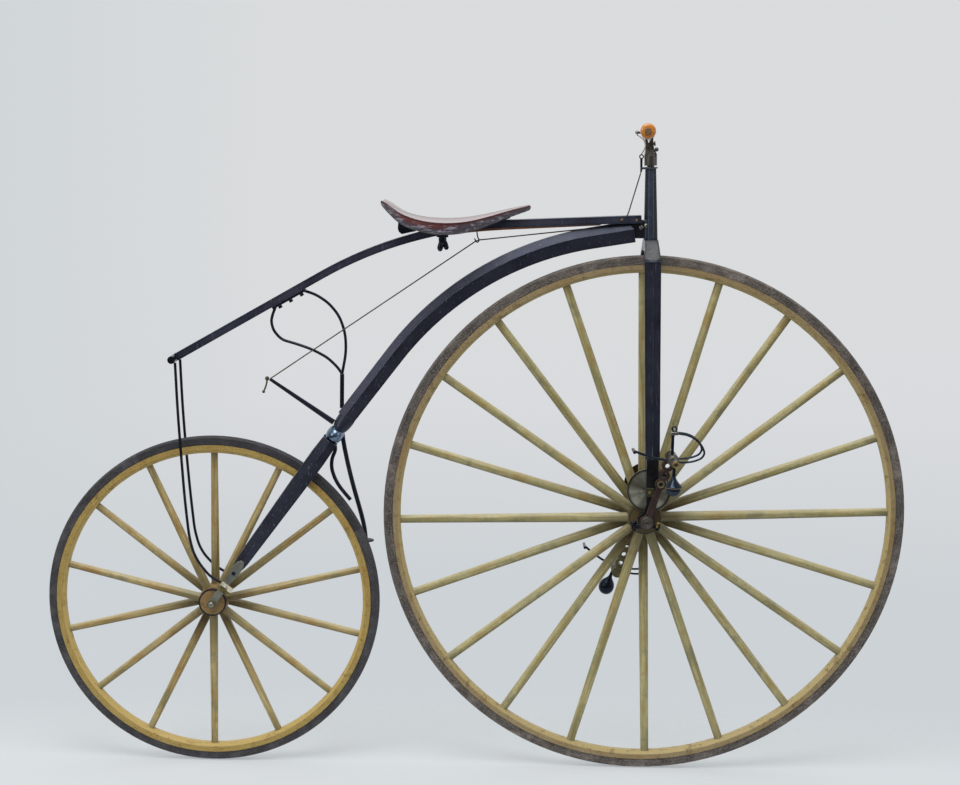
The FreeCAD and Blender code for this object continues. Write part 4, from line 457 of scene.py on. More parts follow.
# A grey sheen is painted where the rounded faces turn across the machine, a little more towards the rear,
# ahead of the lug and in patches.
facing = add(tree, "SeparateXYZ", {"Vector": rounded})
aside = add(tree, "Math", {0: facing.outputs["Y"]}, operation="ABSOLUTE")
aside = add(tree, "Math", {0: facing.outputs["X"], 1: -0.2, 2: aside}, operation="MULTIPLY_ADD")
painted_sheen = add(tree, "MapRange", {"Value": aside, "From Min": 0.76, "From Max": 1.02},
               interpolation_type="SMOOTHSTEP")
lug_front = 0.405
ahead_of_lug = add(tree, "MapRange", {"Value": place.outputs["X"], "From Min": lug_front - 0.0015,
                                      "From Max": lug_front + 0.0015})
painted_sheen = add(tree, "Math", {0: painted_sheen, 1: ahead_of_lug}, operation="MULTIPLY")
uneven = add(tree, "MapRange", {"Value": wear, "From Min": 0.3, "From Max": 0.65, "To Min": 0.45})
painted_sheen = add(tree, "Math", {0: painted_sheen, 1: uneven}, operation="MULTIPLY")
colour = add(tree, "ValToRGB", {"Fac": rub}, stops=((0.35, "#0e0f15"), (0.7, "#1f212b")))
colour = add(tree, "Mix", {"Factor": painted_sheen, "A": colour, "B": "#3c4657"}, data_type="RGBA")
# Edges are pale: rubbed, and a painted highlight as well.
ridge_wear_and_highlight = soft_edges(tree, 1.2)[1]
colour = coat(tree, colour, ridge_wear_and_highlight, 0.0, 1.0, 0.75, "#a7b2c0")
rough = add(tree, "MapRange", {"Value": wear, "From Min": 0.3, "From Max": 0.7, "To Min": 0.2,
                               "To Max": 0.36})
finish(tree, {"Base Color": colour, "Roughness": rough, "IOR": 1.5, "Specular IOR Level": 0.5,
              "Normal": add(tree, "Bump", {"Height": rub, "Distance": 0.0001, "Normal": rounded})})
dress("head_tube", material)
dress("fork_crown", material)


# ---------------------------------------------------------------- bare iron fittings
# Small forged and filed parts of wrought iron, oiled by hand and browned by age.
# Edges are brighter than the flats, both rubbed and painted as highlights, and rust sits in the pits.

def aged_iron(name, dark, body, rubbed, rust, share, metal, roughness):
    """Metal from dark to body colour, edges rubbed and painted pale; share spreads the rust, metal is how
    bare it is.
    """
    material, tree = blank_material(name)
    at = add(tree, "TexCoord").outputs["Object"]
    patch = add(tree, "TexNoise", {"Vector": at, "Scale": 1000 / 18, "Detail": 6.0, "Roughness": 0.65})
    fine = add(tree, "TexNoise", {"Vector": at, "Scale": 1000 / 2.6, "Detail": 4.0, "Roughness": 0.7})
    colour = add(tree, "ValToRGB", {"Fac": patch}, stops=((0.3, dark), (0.7, body)))
    rounded, edge = soft_edges(tree, 0.8)
    # Edges are paler: rubbed wear, and a painted highlight as well.
    colour = coat(tree, colour, edge, 0.0, 1.0, 0.7, rubbed)
    rusty = add(tree, "MapRange", {"Value": fine, "From Min": 0.66 - share * 0.3, "From Max": 0.76,
                                   "To Max": 0.9})
    colour = add(tree, "Mix", {"Factor": rusty, "A": colour, "B": rust}, data_type="RGBA")
    metallic = add(tree, "MapRange", {"Value": rusty, "To Min": metal, "To Max": metal * 0.2})
    rough = add(tree, "MapRange", {"Value": patch, "From Min": 0.3, "From Max": 0.7,
                                   "To Min": roughness - 0.08, "To Max": roughness + 0.14})
    normal = add(tree, "Bump", {"Height": fine, "Distance": 0.00015, "Normal": rounded})
    finish(tree, {"Base Color": colour, "Metallic": metallic, "Roughness": rough, "Normal": normal})
    return material


# Each line: name, dark, body, rubbed and highlighted edge, rust, share of rust, metallic, roughness.
dark_iron = aged_iron("oiled_black_iron", "#262628", "#3c3d42", "#8c929c", "#4a3428", 0.25, 0.85, 0.36)
blued_iron = aged_iron("blued_iron", "#222a35", "#38434f", "#a9b8c8", "#3a322c", 0.1, 0.9, 0.2)
brown_iron = aged_iron("browned_iron", "#32282a", "#4c3a36", "#a8957c", "#64432e", 0.45, 0.5, 0.48)
olive_iron = aged_iron("dusty_olive_iron", "#5a563c", "#777150", "#8e8868", "#6a5030", 0.3, 0.3, 0.6)
nut_iron = aged_iron("greened_iron", "#34362a", "#55573f", "#9c9a76", "#5c4a2c", 0.3, 0.5, 0.46)
cap_brown = aged_iron("browned_cap_iron", "#6a543c", "#92785a", "#b09a78", "#70452c", 0.4, 0.3, 0.5)
grey_iron = aged_iron("filed_grey_iron", "#7d8074", "#a0a294", "#c4c6bc", "#6d6248", 0.2, 0.75, 0.36)
stem_iron = aged_iron("worn_stem_iron", "#4a4640", "#6e6a64", "#b4b4b2", "#5d4c3a", 0.3, 0.8, 0.38)
rusted_leaf = aged_iron("rusted_spring_leaf", "#5c3a28", "#935a34", "#b4743c", "#b46c34", 0.9, 0.25, 0.6)
brass = aged_iron("dull_brass", "#8f7c46", "#c0a668", "#e0cf9c", "#6a5a34", 0.2, 0.9, 0.32)
for node_name, material in (
        ("fork_irons", dark_iron), ("front_hub_bands", nut_iron), ("rear_hub_bands", dark_iron),
        ("handlebar", dark_iron), ("saddle_pan", dark_iron), ("cord_link", black_enamel),
        ("cord_hook", black_enamel), ("pedal_sleeve_right", stem_iron), ("toe_frame_right", blued_iron),
        ("pedal_sleeve_left", stem_iron), ("toe_frame_left", blued_iron), ("stem_collar", stem_iron),
        ("stem_neck", stem_iron), ("crank_right", brown_iron), ("crank_left", olive_iron),
        ("spring_strip", rusted_leaf), ("rear_fork_plates", grey_iron), ("rear_axle", grey_iron),
        ("front_axle", brown_iron), ("disc_nuts", nut_iron), ("grip_caps", cap_brown)):
    dress(node_name, material)


# ---------------------------------------------------------------- turned pieces
# What came off a lathe has a flowing outline, made here by one function for every such piece.
# The first are the grips: boxwood with its grain drawn along them, under clear orange varnish.

def turned(name, outline, place, axis, body, material, sides=28):
    """A smooth lathe piece at a place in millimetres, with its axis along a direction.

    Each point of its outline is (radius, distance along the axis) in millimetres, and may have a third
    number that widens or narrows the piece sideways there.
    """
    mesh = bpy.data.meshes.new(name)
    shape = bmesh.new()
    loops = []
    for radius, distance, *wide in outline:
        across = wide[0] if wide else 1.0
        loops.append([shape.verts.new((radius * across / 1000 * math.cos(math.tau * n / sides),
                                       radius / 1000 * math.sin(math.tau * n / sides), distance / 1000))
                      for n in range(sides if radius else 1)])
    for first, second in zip(loops, loops[1:]):
        for n in range(sides):
            corners = [first[n % len(first)], first[(n + 1) % len(first)],
                       second[(n + 1) % len(second)], second[n % len(second)]]
            face = shape.faces.new([v for i, v in enumerate(corners) if v not in corners[:i]])
            face.smooth = True
    bmesh.ops.recalc_face_normals(shape, faces=shape.faces)
    shape.to_mesh(mesh)
    shape.free()
    mesh.materials.append(material)
    piece = bpy.data.objects.new(name, mesh)
    piece.matrix_world = (Matrix.Translation([v / 1000 for v in place])
                          @ Vector(axis).to_track_quat("Z", "Y").to_matrix().to_4x4())
    bpy.context.scene.collection.objects.link(piece)
    smooth = piece.modifiers.new("smooth", "SUBSURF")
    smooth.levels = 1
    smooth.render_levels = 2
    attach(piece, body)
    return piece


boxwood, tree = blank_material("varnished_boxwood")
at = add(tree, "TexCoord").outputs["Object"]
with_grain = add(tree, "Mapping", {"Vector": at, "Scale": (1.0, 1.0, 0.12)})
grain = add(tree, "TexNoise", {"Vector": with_grain, "Scale": 1000 / 2.0, "Detail": 5.0, "Roughness": 0.6})
colour = add(tree, "ValToRGB", {"Fac": grain}, stops=(
    (0.28, "#b0621e"), (0.52, "#d8862c"), (0.8, "#e8a64e")))
uneven_patches = add(tree, "TexNoise", {"Vector": at, "Scale": 1000 / 14, "Detail": 4.0, "Roughness": 0.6})
colour = coat(tree, colour, uneven_patches, 0.55, 0.75, 0.6, "#8a4c1c")
finish(tree, {"Base Color": colour, "Roughness": 0.32, "IOR": 1.5, "Coat Weight": 0.8,
              "Coat Roughness": 0.12, "Normal": add(tree, "Bump", {"Height": grain, "Distance": 0.00015})})

grip_outline = (
    (0, 0.4), (7.2, 0.4), (9.4, 0.5), (12.6, 1.4), (14.6, 3.6), (15.3, 7.0), (15.2, 11.0), (14.4, 16.0),
    (12.8, 23.0), (11.8, 32.0), (12.0, 45.0), (12.6, 60.0), (12.2, 78.0), (11.4, 94.0), (11.6, 102.0),
    (13.0, 108.0), (12.8, 113.0), (10.4, 116.5), (7.6, 117.6), (0, 117.8))
low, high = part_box("grips")
bar_x = (low.x + high.x) / 2
bar_z = (low.z + high.z) / 2
half_bar = 0.285
skew = math.radians(5.0)
for side, name in ((-1, "grip_right"), (1, "grip_left")):
    outward = Vector((side * math.sin(skew), side * math.cos(skew), 0))
    end_of_bar = (Vector((bar_x, 0, bar_z)) + outward * half_bar) * 1000
    grip = turned(name, grip_outline, end_of_bar, -outward, "steering", boxwood)
    if side < 0:
        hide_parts("grips")


# ---------------------------------------------------------------- neck of the rear fork
# Where the backbone's foot meets the rear fork, an enamelled collar swells out of the backbone.
# Under it is a forged bead, filed round and polished bright blue grey: the shiniest piece of all.

slope = math.radians(54.8)
down_fork = Vector((-math.cos(slope), 0, -math.sin(slope)))
neck_at = Vector((-225.9, 0, -447.6))
bead_steel = aged_iron("polished_bead_steel", "#58687c", "#8296ae", "#d5e0ea", "#4a4436", 0.02, 0.95, 0.17)
collar_outline = (
    (0, -40.0), (17.6, -39.0, 0.9), (18.6, -30.0, 0.94), (18.5, -20.0, 1.0), (17.4, -12.0, 1.12),
    (15.6, -5.0, 1.3), (14.0, -1.0, 1.4), (0, 1.0))
bead_outline = (
    (0, -3.6), (11.0, -3.4, 1.3), (13.4, -2.2, 1.4), (15.2, 0.6, 1.5), (16.8, 4.5, 1.54),
    (17.5, 9.5, 1.56), (17.7, 13.0, 1.57), (17.4, 17.0, 1.56), (16.3, 21.8, 1.55), (14.2, 26.2, 1.53),
    (11.0, 28.6, 1.5), (0, 29.4))
collar = turned("neck_collar", collar_outline, neck_at, down_fork, "frame", enamel)
bead = turned("neck_bead", bead_outline, neck_at, down_fork, "frame", bead_steel, sides=40)
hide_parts("rear_fork_neck")


# ---------------------------------------------------------------- mounting step
# A bent iron bar that runs down from the neck to a small oval tread, to the left of the small wheel.
# It is stoved black like the stays, and boots have worn the tread to grey iron.

def bent_rod(name, route, material, radius, order, steps):
    """A round rod or cord bent smoothly along a route, all in metres; a higher order bends it wider."""
    curve = bpy.data.curves.new(name + "_line", "CURVE")
    curve.dimensions = "3D"
    curve.bevel_depth = radius
    curve.bevel_resolution = 3
    curve.use_fill_caps = True
    line = curve.splines.new("NURBS")
    line.points.add(len(route) - 1)
    for point, place in zip(line.points, route):
        point.co = tuple(place) + (1.0,)
    line.order_u = order
    line.use_endpoint_u = True
    line.resolution_u = steps
    guide = bpy.data.objects.new(name + "_line", curve)
    bpy.context.scene.collection.objects.link(guide)
    bpy.context.view_layer.update()
    mesh = bpy.data.meshes.new_from_object(guide)
    bpy.data.objects.remove(guide)
    mesh.materials.clear()
    mesh.materials.append(material)
    rod = bpy.data.objects.new(name, mesh)
    bpy.context.scene.collection.objects.link(rod)
    return rod


fork_neck = Vector((-227.43, 0, -449.07))
from_neck = ((7, 9, 14), (9, 10, -12), (13, 12, -36), (21.4, 17, -78), (32.4, 25, -125), (43.4, 33, -165),
             (52.4, 38, -199), (57, 44, -225), (58, 48, -244))
step_route = [(fork_neck + Vector(offset)) / 1000 for offset in from_neck]
step_bar = bent_rod("step_bar", step_route, black_enamel, radius=0.0048, order=4, steps=6)
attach(step_bar, "frame")
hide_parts("step")
tread_outline = ((0, 0), (13.0, 0, 1.33), (16.4, 0.5, 1.31), (17.2, 2.5, 1.3), (16.4, 4.5, 1.31),
                 (13.0, 5.0, 1.33), (0, 4.8))
tread_at = fork_neck + Vector((53.4, 57.0, -249.6))
tread_iron = aged_iron("tread_iron", "#26262a", "#3e4046", "#6c6f76", "#4a3a2c", 0.2, 0.5, 0.45)
tread = turned("step_tread", tread_outline, tread_at, (0, 0, 1), "frame", tread_iron)


# ---------------------------------------------------------------- hub plates
# Shallow dishes of sheet iron, spun on a lathe and clamped inside each fork iron. The lathe's fine
# rings make their sheen turn about the middle, and light and dark sectors of sheen are painted on;
# the right dish is still bright, the left has browned.

front_axle = Vector((420.925, 0, -619.286))
plate_stud = front_axle + Vector((6.0, 0, 61.0))
plate_outline = (
    (0, 0), (10, 0), (18, 0.3), (28, 1.6), (36, 3.4), (41, 4.8), (44, 5.4), (45.6, 4.6), (46.4, 5.0),
    (46.3, 6.4), (44, 6.9), (36, 5.2), (28, 3.4), (18, 2.0), (10, 1.7), (0, 1.6))
for side, name, body, pale, stain_and_shade_colour in (
        (-1, "hub_plate_right", "#8c8b7d", "#c8c8b8", "#584e3c"),
        (1, "hub_plate_left", "#5c4a34", "#7d674a", "#50402c")):
    spun, tree = blank_material(name + "_spun_iron")
    at = add(tree, "TexCoord").outputs["Object"]
    flat = add(tree, "VectorMath", {0: at, 1: (1.0, 1.0, 0.0)}, operation="MULTIPLY")
    ring = add(tree, "VectorMath", {0: flat}, operation="LENGTH")
    groove_at = add(tree, "CombineXYZ", {"X": ring})
    groove = add(tree, "TexNoise", {"Vector": groove_at, "Scale": 1000 / 1.1, "Detail": 2.0})
    # The painted light and dark sectors of sheen are a pattern on a circle of radius one, whatever the
    # dish's size.
    outward = add(tree, "VectorMath", {0: flat}, operation="NORMALIZE")
    painted_light_sector = add(tree, "TexNoise", {"Vector": outward, "Scale": 0.9, "Detail": 2.5, "Roughness": 0.5})
    stain = add(tree, "TexNoise", {"Vector": at, "Scale": 1000 / 14, "Detail": 6.0, "Roughness": 0.7})
    colour = add(tree, "ValToRGB", {"Fac": painted_light_sector}, stops=(
        (0.36, stain_and_shade_colour), (0.5, body), (0.66, pale)))
    colour = coat(tree, colour, stain, 0.54, 0.72, 0.7, stain_and_shade_colour)
    # The dish is darker in a ring just inside its lip.
    out_in_50_mm = add(tree, "Math", {0: ring, 1: 20.0}, operation="MULTIPLY")
    dark_ring_inside_lip = add(tree, "ValToRGB", {"Fac": out_in_50_mm}, stops=(
        (0.78, "#000000"), (0.875, "#ffffff"), (0.90, "#ffffff"), (0.915, "#000000")))
    colour = add(tree, "Mix", {"Factor": dark_ring_inside_lip, "A": colour, "B": "#3a3428"}, data_type="RGBA")
    rough = add(tree, "MapRange", {"Value": stain, "From Min": 0.3, "From Max": 0.7, "To Min": 0.26,
                                   "To Max": 0.5})
    finish(tree, {"Base Color": colour, "Metallic": 0.8, "Roughness": rough, "Anisotropic": 0.7,
                  "Tangent": add(tree, "Tangent", direction_type="RADIAL", axis="Z"),
                  "Normal": add(tree, "Bump", {"Height": groove, "Distance": 0.0002})})
    plate_at = plate_stud + Vector((0, side * 44.0, 0))
    dish = turned(name, plate_outline, plate_at, (0, -side, 0), "steering", spun, sides=48)
    if side < 0:
        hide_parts("hub_discs")


# ---------------------------------------------------------------- bolts, nuts and plugs
# Small hand-filed fastenings: brass and bright iron where they were renewed, rusted where not.
# Bolts and nuts end in a dome that catches one small highlight; rings and washers lie on the iron.

bright = aged_iron("bright_nut_iron", "#6c6a62", "#aeaca2", "#f2f0e6", "#6f5a3c", 0.15, 0.9, 0.24)
rusted = aged_iron("rusted_bolt_iron", "#6e5238", "#a08560", "#c2ab84", "#7c4c2c", 0.5, 0.2, 0.6)

# Outlines, each from the iron outward: radius and distance in millimetres.
dome = ((2.7, -1.0), (2.9, 0.4), (2.3, 1.2), (1.2, 1.7), (0, 1.8))
nut = ((4.3, -1.0), (4.6, 1.6), (4.2, 2.6), (2.4, 3.0), (2.2, 4.4), (1.4, 5.0), (0, 5.1))
washer = ((10.6, -0.4), (10.9, 0.5), (9.6, 1.5), (7.4, 1.8), (0, 1.8))
acorn = ((7.2, 1.0), (7.5, 2.4), (6.9, 4.6), (6.5, 6.6), (5.4, 8.6), (3.4, 9.9), (1.5, 10.3), (0, 10.4))
stud = ((3.2, -1.0), (3.4, 0.9), (2.8, 1.8), (1.5, 2.4), (0, 2.5))
thin_ring = ((7.0, -3.0), (7.2, -0.6), (6.6, 0.6), (5.4, 0.9), (4.2, 0.2), (0, 0.1))
cap_nut = ((5.6, 0), (6.2, 1.0), (6.2, 9.0), (5.4, 11.6), (3.0, 12.6), (0, 12.8))
pip = ((3.6, -1.0), (3.7, 0.6), (2.8, 1.5), (1.4, 1.9), (0, 2.0))
boss_ring = ((12.6, -0.4), (12.8, 1.2), (11.4, 2.2), (9.4, 2.4), (8.8, 1.6), (6.2, 1.8), (5.2, 2.8),
             (2.6, 3.2), (0, 3.2))
eye_ring = ((7.9, -0.3), (8.0, 0.7), (7.2, 1.2), (5.6, 1.2), (4.9, 0.4), (4.8, -1.0), (0, -1.0))
pin_end = ((0, -4.2), (2.8, -3.6), (4.1, -1.0), (4.1, 1.0), (2.8, 3.6), (0, 4.2))
plug = ((4.7, -0.5), (4.8, 1.0), (4.2, 1.9), (2.2, 2.3), (0, 2.4))

# Where the fastenings sit in the machine's middle plane.
rear_axle = Vector((-487.075, 0, -817.286))
right_tip = Vector((467.325, 0, -479.801))
left_tip = Vector((374.525, 0, -758.771))
crank_length, eye_pitch = 147.0, 20.5
up_crank = (right_tip - front_axle) / crank_length
second_eye = right_tip - up_crank * 2 * eye_pitch
third_eye = right_tip - up_crank * 3 * eye_pitch
cap_behind = Vector((396.9, 0, -634.0))
cap_ahead = Vector((444.9, 0, -634.0))
rightward, leftward, upward = (0, -1, 0), (0, 1, 0), (0, 0, 1)
for name, outline, centre, aside, axis, body, material, slot in (
        # aside is how far the piece is to the rider's left of its centre
        ("head_bolt_rear", dome, (356.5, 0, 3.5), -17.8, rightward, "frame", rusted, "worn_iron"),
        ("head_bolt_front", dome, (386.8, 0, 2.8), -17.8, rightward, "frame", rusted, "worn_iron"),
        ("lug_nut_rear", nut, (397.1, 0, -12.0), -9.0, rightward, "frame", bright, "grey_iron"),
        ("lug_nut_front", nut, (407.3, 0, -8.3), -9.0, rightward, "frame", bright, "grey_iron"),
        ("collar_stud", nut, (423.6, 0, 148.0), -12.0, rightward, "steering", stem_iron, "dark_iron"),
        ("plate_stud_right", stud, plate_stud, -62.0, rightward, "steering", brass, "brass"),
        ("plate_stud_left", stud, plate_stud, 62.0, leftward, "steering", brass, "brass"),
        ("cap_nut_rear_right", cap_nut, cap_behind, -51.0, upward, "steering", blued_iron, "dark_iron"),
        ("cap_nut_front_right", cap_nut, cap_ahead, -51.0, upward, "steering", brass, "brass"),
        ("cap_nut_rear_left", cap_nut, cap_behind, 51.0, upward, "steering", blued_iron, "dark_iron"),
        ("cap_nut_front_left", cap_nut, cap_ahead, 51.0, upward, "steering", brass, "brass"),
        ("spindle_ring_right", thin_ring, right_tip, -174.2, rightward, "front_wheel", brass, "brass"),
        ("spindle_ring_left", thin_ring, left_tip, 174.2, leftward, "front_wheel", brass, "brass"),
        ("eye_plug_upper", plug, second_eye, -76.5, rightward, "front_wheel", dark_iron, "dark_iron"),
        ("eye_plug_lower", plug, third_eye, -76.5, rightward, "front_wheel", dark_iron, "dark_iron"),
        ("spindle_pip_right", pip, right_tip, -174.6, rightward, "front_wheel", brown_iron, "dark_iron"),
        ("spindle_pip_left", pip, left_tip, 174.6, leftward, "front_wheel", brown_iron, "dark_iron"),
        ("boss_ring_right", boss_ring, front_axle, -81.2, rightward, "front_wheel", stem_iron, "dark_iron"),
        ("boss_ring_left", boss_ring, front_axle, 81.2, leftward, "front_wheel", olive_iron, "dark_iron"),
        ("eye_ring_lower", eye_ring, third_eye, -79.0, rightward, "front_wheel", olive_iron, "dark_iron"),
        ("tip_ring_left", boss_ring, left_tip, 66.8, rightward, "front_wheel", olive_iron, "dark_iron"),
        ("cord_pin_end", pin_end, (384.0, 0, 182.0), 0.0, (-1, 0, 0), "steering", bright, "grey_iron"),
        ("rear_washer_right", washer, rear_axle, -46.6, rightward, "frame", olive_iron, "brass"),
        ("rear_washer_left", washer, rear_axle, 46.6, leftward, "frame", olive_iron, "brass"),
        ("rear_nut_right", acorn, rear_axle, -46.6, rightward, "frame", bright, "grey_iron"),
        ("rear_nut_left", acorn, rear_axle, 46.6, leftward, "frame", bright, "grey_iron")):
    place = Vector(centre) + Vector((0, aside, 0))
    piece = turned(name, outline, place, axis, body, material, sides=16)


# ---------------------------------------------------------------- straps on the rear plates
# Two bars, a bend and a square nut clamp the foot of each stay to the rear plate.
# The upper bar and nut kept their cream paint; the lower bar is bare olive brass.

material, tree = blank_material("cream_paint_over_brass")
at = add(tree, "TexCoord").outputs["Object"]
from_axle = add(tree, "VectorMath", {0: at, 1: tuple(rear_axle / 1000)}, operation="SUBTRACT")
up_plate = add(tree, "VectorMath", {0: from_axle, 1: tuple(-down_fork)}, operation="DOT_PRODUCT")
up_plate = up_plate.outputs["Value"]
painted = add(tree, "MapRange", {"Value": up_plate, "From Min": 0.0420, "From Max": 0.0436})
stain = add(tree, "TexNoise", {"Vector": at, "Scale": 1000 / 7, "Detail": 6.0, "Roughness": 0.7})
cream = add(tree, "ValToRGB", {"Fac": stain}, stops=((0.35, "#a8987a"), (0.52, "#d9d2bc"), (0.7, "#efeadb")))
olive = add(tree, "ValToRGB", {"Fac": stain}, stops=((0.35, "#4e4428"), (0.52, "#8a7a48"), (0.7, "#b5a468")))
rounded, edge = soft_edges(tree, 0.8)
colour = add(tree, "Mix", {"Factor": painted, "A": olive, "B": cream}, data_type="RGBA")
colour = coat(tree, colour, edge, 0.0, 1.0, 0.4, "#7a6a48")
finish(tree, {"Base Color": colour, "Roughness": 0.42, "IOR": 1.5, "Normal": rounded,
              "Metallic": add(tree, "MapRange", {"Value": painted, "To Min": 0.6, "To Max": 0.0})})
dress("plate_fittings", material)


# ---------------------------------------------------------------- filed blocks
# Small pieces filed from bar: the block behind the saddle's clamp, stoved black, and the bridge of
# the right toe frame, left bright. The file has rounded their corners.

def filed(name, corners, body, material, y_from, y_to, edge):
    """A flat piece with filed edges of this radius; its corners are (x, z), all in millimetres."""
    mesh = bpy.data.meshes.new(name)
    shape = bmesh.new()
    near = [shape.verts.new((x / 1000, y_from / 1000, z / 1000)) for x, z in corners]
    far = [shape.verts.new((x / 1000, y_to / 1000, z / 1000)) for x, z in corners]
    shape.faces.new(near)
    shape.faces.new(far[::-1])
    for n in range(len(near)):
        shape.faces.new((near[n - 1], near[n], far[n], far[n - 1]))
    bmesh.ops.recalc_face_normals(shape, faces=shape.faces)
    bmesh.ops.bevel(shape, geom=shape.edges[:], offset=edge / 1000, segments=3, affect="EDGES", profile=0.5)
    for face in shape.faces:
        face.smooth = True
    shape.to_mesh(mesh)
    shape.free()
    mesh.materials.append(material)
    piece = bpy.data.objects.new(name, mesh)
    bpy.context.scene.collection.objects.link(piece)
    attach(piece, body)
    return piece


low, high = [corner * 1000 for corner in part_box("saddle_block")]
block_corners = (
    (low.x + 9, low.z + 6.5), (low.x + 3, low.z + 11), (low.x + 0.4, low.z + 18),
    (low.x + 1.5, high.z - 0.4), (high.x - 2, high.z - 5.4), (high.x, low.z + 13.0),
    (high.x - 10, low.z + 11.0))
block = filed("saddle_block_filed", block_corners, "frame", black_enamel, y_from=-16, y_to=16, edge=1.6)
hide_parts("saddle_block")

pin_x, pin_z = 467.3, -479.8
bridge_corners = [(pin_x + x, pin_z + z) for x, z in ((-7.3, 53.6), (7.8, 53.6), (7.8, 60.4), (-7.3, 60.4))]
bridge = filed("toe_bridge_right", bridge_corners, "pedal_right", bright,
               y_from=-132.6, y_to=-110.4, edge=1.4)


# ---------------------------------------------------------------- pedal weights
# Cast iron bells that hang on a rod below each pedal, turned smooth and blued to a soft sheen.
# They keep the toe frames upright; the left one has lost its lip and is nearly a ball.

night_iron = aged_iron("blue_black_iron", "#161b24", "#27303d", "#8492a4", "#2c2a28", 0.1, 0.85, 0.24)
bell = (
    (3.3, 5.0), (3.3, 24.0), (3.9, 30.0), (5.6, 35.5), (9.2, 40.6), (13.4, 45.0), (16.2, 48.4),
    (17.4, 50.2), (17.6, 51.0), (17.5, 52.8), (16.8, 53.6), (15.5, 54.0), (15.9, 56.6), (15.0, 60.6),
    (12.6, 65.0), (8.6, 68.8), (4.0, 70.6), (0, 71.0))
lip = ((16.8, 51.0), (17.7, 51.2), (17.9, 51.9), (17.7, 52.6), (16.8, 52.8), (16.8, 51.0))
ball = (
    (3.3, 5.0), (3.3, 26.0), (4.8, 31.5), (9.0, 35.5), (13.4, 40.4), (16.2, 46.2), (17.3, 52.6),
    (16.4, 59.0), (13.6, 64.6), (9.4, 68.6), (4.6, 70.6), (0, 71.0))
mid_pedal = Vector((0, 141.5, 0))
tilt = math.radians(20.0)
for name, outline, place, axis, material in (
        ("right", bell, right_tip - mid_pedal, (0, 0, -1), blued_iron),
        ("left", ball, left_tip + mid_pedal, (-math.sin(tilt), 0, -math.cos(tilt)), night_iron)):
    weight = turned("turned_weight_" + name, outline, place, axis, "pedal_" + name, material, sides=36)
    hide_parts("pedal_weight_" + name)
lip_ring = turned("weight_lip_right", lip, right_tip - mid_pedal, (0, 0, -1), "pedal_right", cap_brown,
                  sides=36)


# ---------------------------------------------------------------- wing nut
# A forged wing nut under the spring bar draws the saddle's clamp tight. Its neck and its two
# uneven wings are rounded, and stoved the same glossy black as the clamp.

low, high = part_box("saddle_clamp")
under_bar = Vector((-13.0, 0, high.z * 1000 - 4.0))
wing_neck = ((0, -2), (8.4, -1), (8.6, 6), (8.4, 12), (7.4, 17), (4.6, 19.5), (0, 20))
long_wing = ((0, 6), (4.4, 8), (5.0, 15), (6.6, 23), (6.4, 28.5), (4.0, 32), (0, 33))
short_wing = ((0, 6), (4.4, 8), (4.8, 13), (6.0, 20), (5.8, 25), (3.6, 28.4), (0, 29.2))
for name, outline, axis in (("wing_nut_neck", wing_neck, (0, 0, -1)),
                            ("wing_rear", long_wing, (-0.18, 0, -1)),
                            ("wing_front", short_wing, (0.32, 0, -1))):
    piece = turned(name, outline, under_bar, axis, "frame", black_enamel, sides=16)


# ---------------------------------------------------------------- saddle
# Cowhide stretched over an iron pan and sewn along a welt at the edge of the seat.
# Dyed red brown and polished by use, it carries a pale painted sheen on top, a painted reflection
# and painted shade down its sides, and a purple bloom with painted highlights low on them.

stations = (
    # ahead of the seat point, height of the top, half width, height of the side, rise of the middle: mm
    (-139.0, 33.6, 58.0, 9.0, -1.5),
    (-122.0, 25.4, 74.0, 18.0, -1.5),
    (-94.0, 11.4, 84.0, 22.5, 2.5),
    (-54.0, 2.3, 86.0, 23.5, 6.0),
    (-9.0, -0.2, 79.0, 24.5, 8.0),
    (36.0, 2.8, 64.0, 23.0, 8.0),
    (81.0, 11.3, 46.0, 19.0, 6.0),
    (126.0, 22.3, 33.0, 14.5, 3.5),
    (168.5, 31.0, 26.0, 10.0, 1.0),
)


def between(rows, count):
    """Rows of numbers with this many smooth steps put between each two."""
    padded_rows = [rows[0]] + list(rows) + [rows[-1]]
    result = []
    for n in range(len(rows) - 1):
        four = padded_rows[n:n + 4]
        for step in range(count):
            t = step / count
            result.append([0.5 * (2 * b + (c - a) * t + (2 * a - 5 * b + 4 * c - d) * t * t
                                  + (3 * b - a - 3 * c + d) * t ** 3) for a, b, c, d in zip(*four)])
    return result + [list(rows[-1])]


def half_section(top, half, side, crown):
    """Half of the saddle's outline, from the middle of the top round to the middle underneath.

    The seat falls away to its edge, the welt stands one millimetre over it, and the skirt below turns
    in to the pan. Six points cross the underside, as many as cross the seat.
    """
    edge = top - crown
    low = edge - side
    bulge = 2.2
    thickness = 12.7
    seat = [(half * s, top - crown * s ** bulge) for s in (0.0, 0.22, 0.44, 0.62, 0.78, 0.9)]
    welt = [(half - 3.6, edge + 0.55), (half - 2.4, edge + 1.0), (half - 0.6, edge + 0.3),
            (half - 0.5, edge - 1.6)]
    skirt = [(half - 0.2, edge - 0.25 * side), (half - 0.3, edge - 0.55 * side),
             (half - 1.6, edge - 0.8 * side), (half - 4.0, low + 0.2), (half - 6.4, low + 0.4)]
    underside = [((half - 7.0) * s, max(top - thickness - crown * s ** bulge, low + 0.6))
                 for s in (0.97, 0.8, 0.6, 0.4, 0.2, 0.0)]
    return seat + welt + skirt + underside


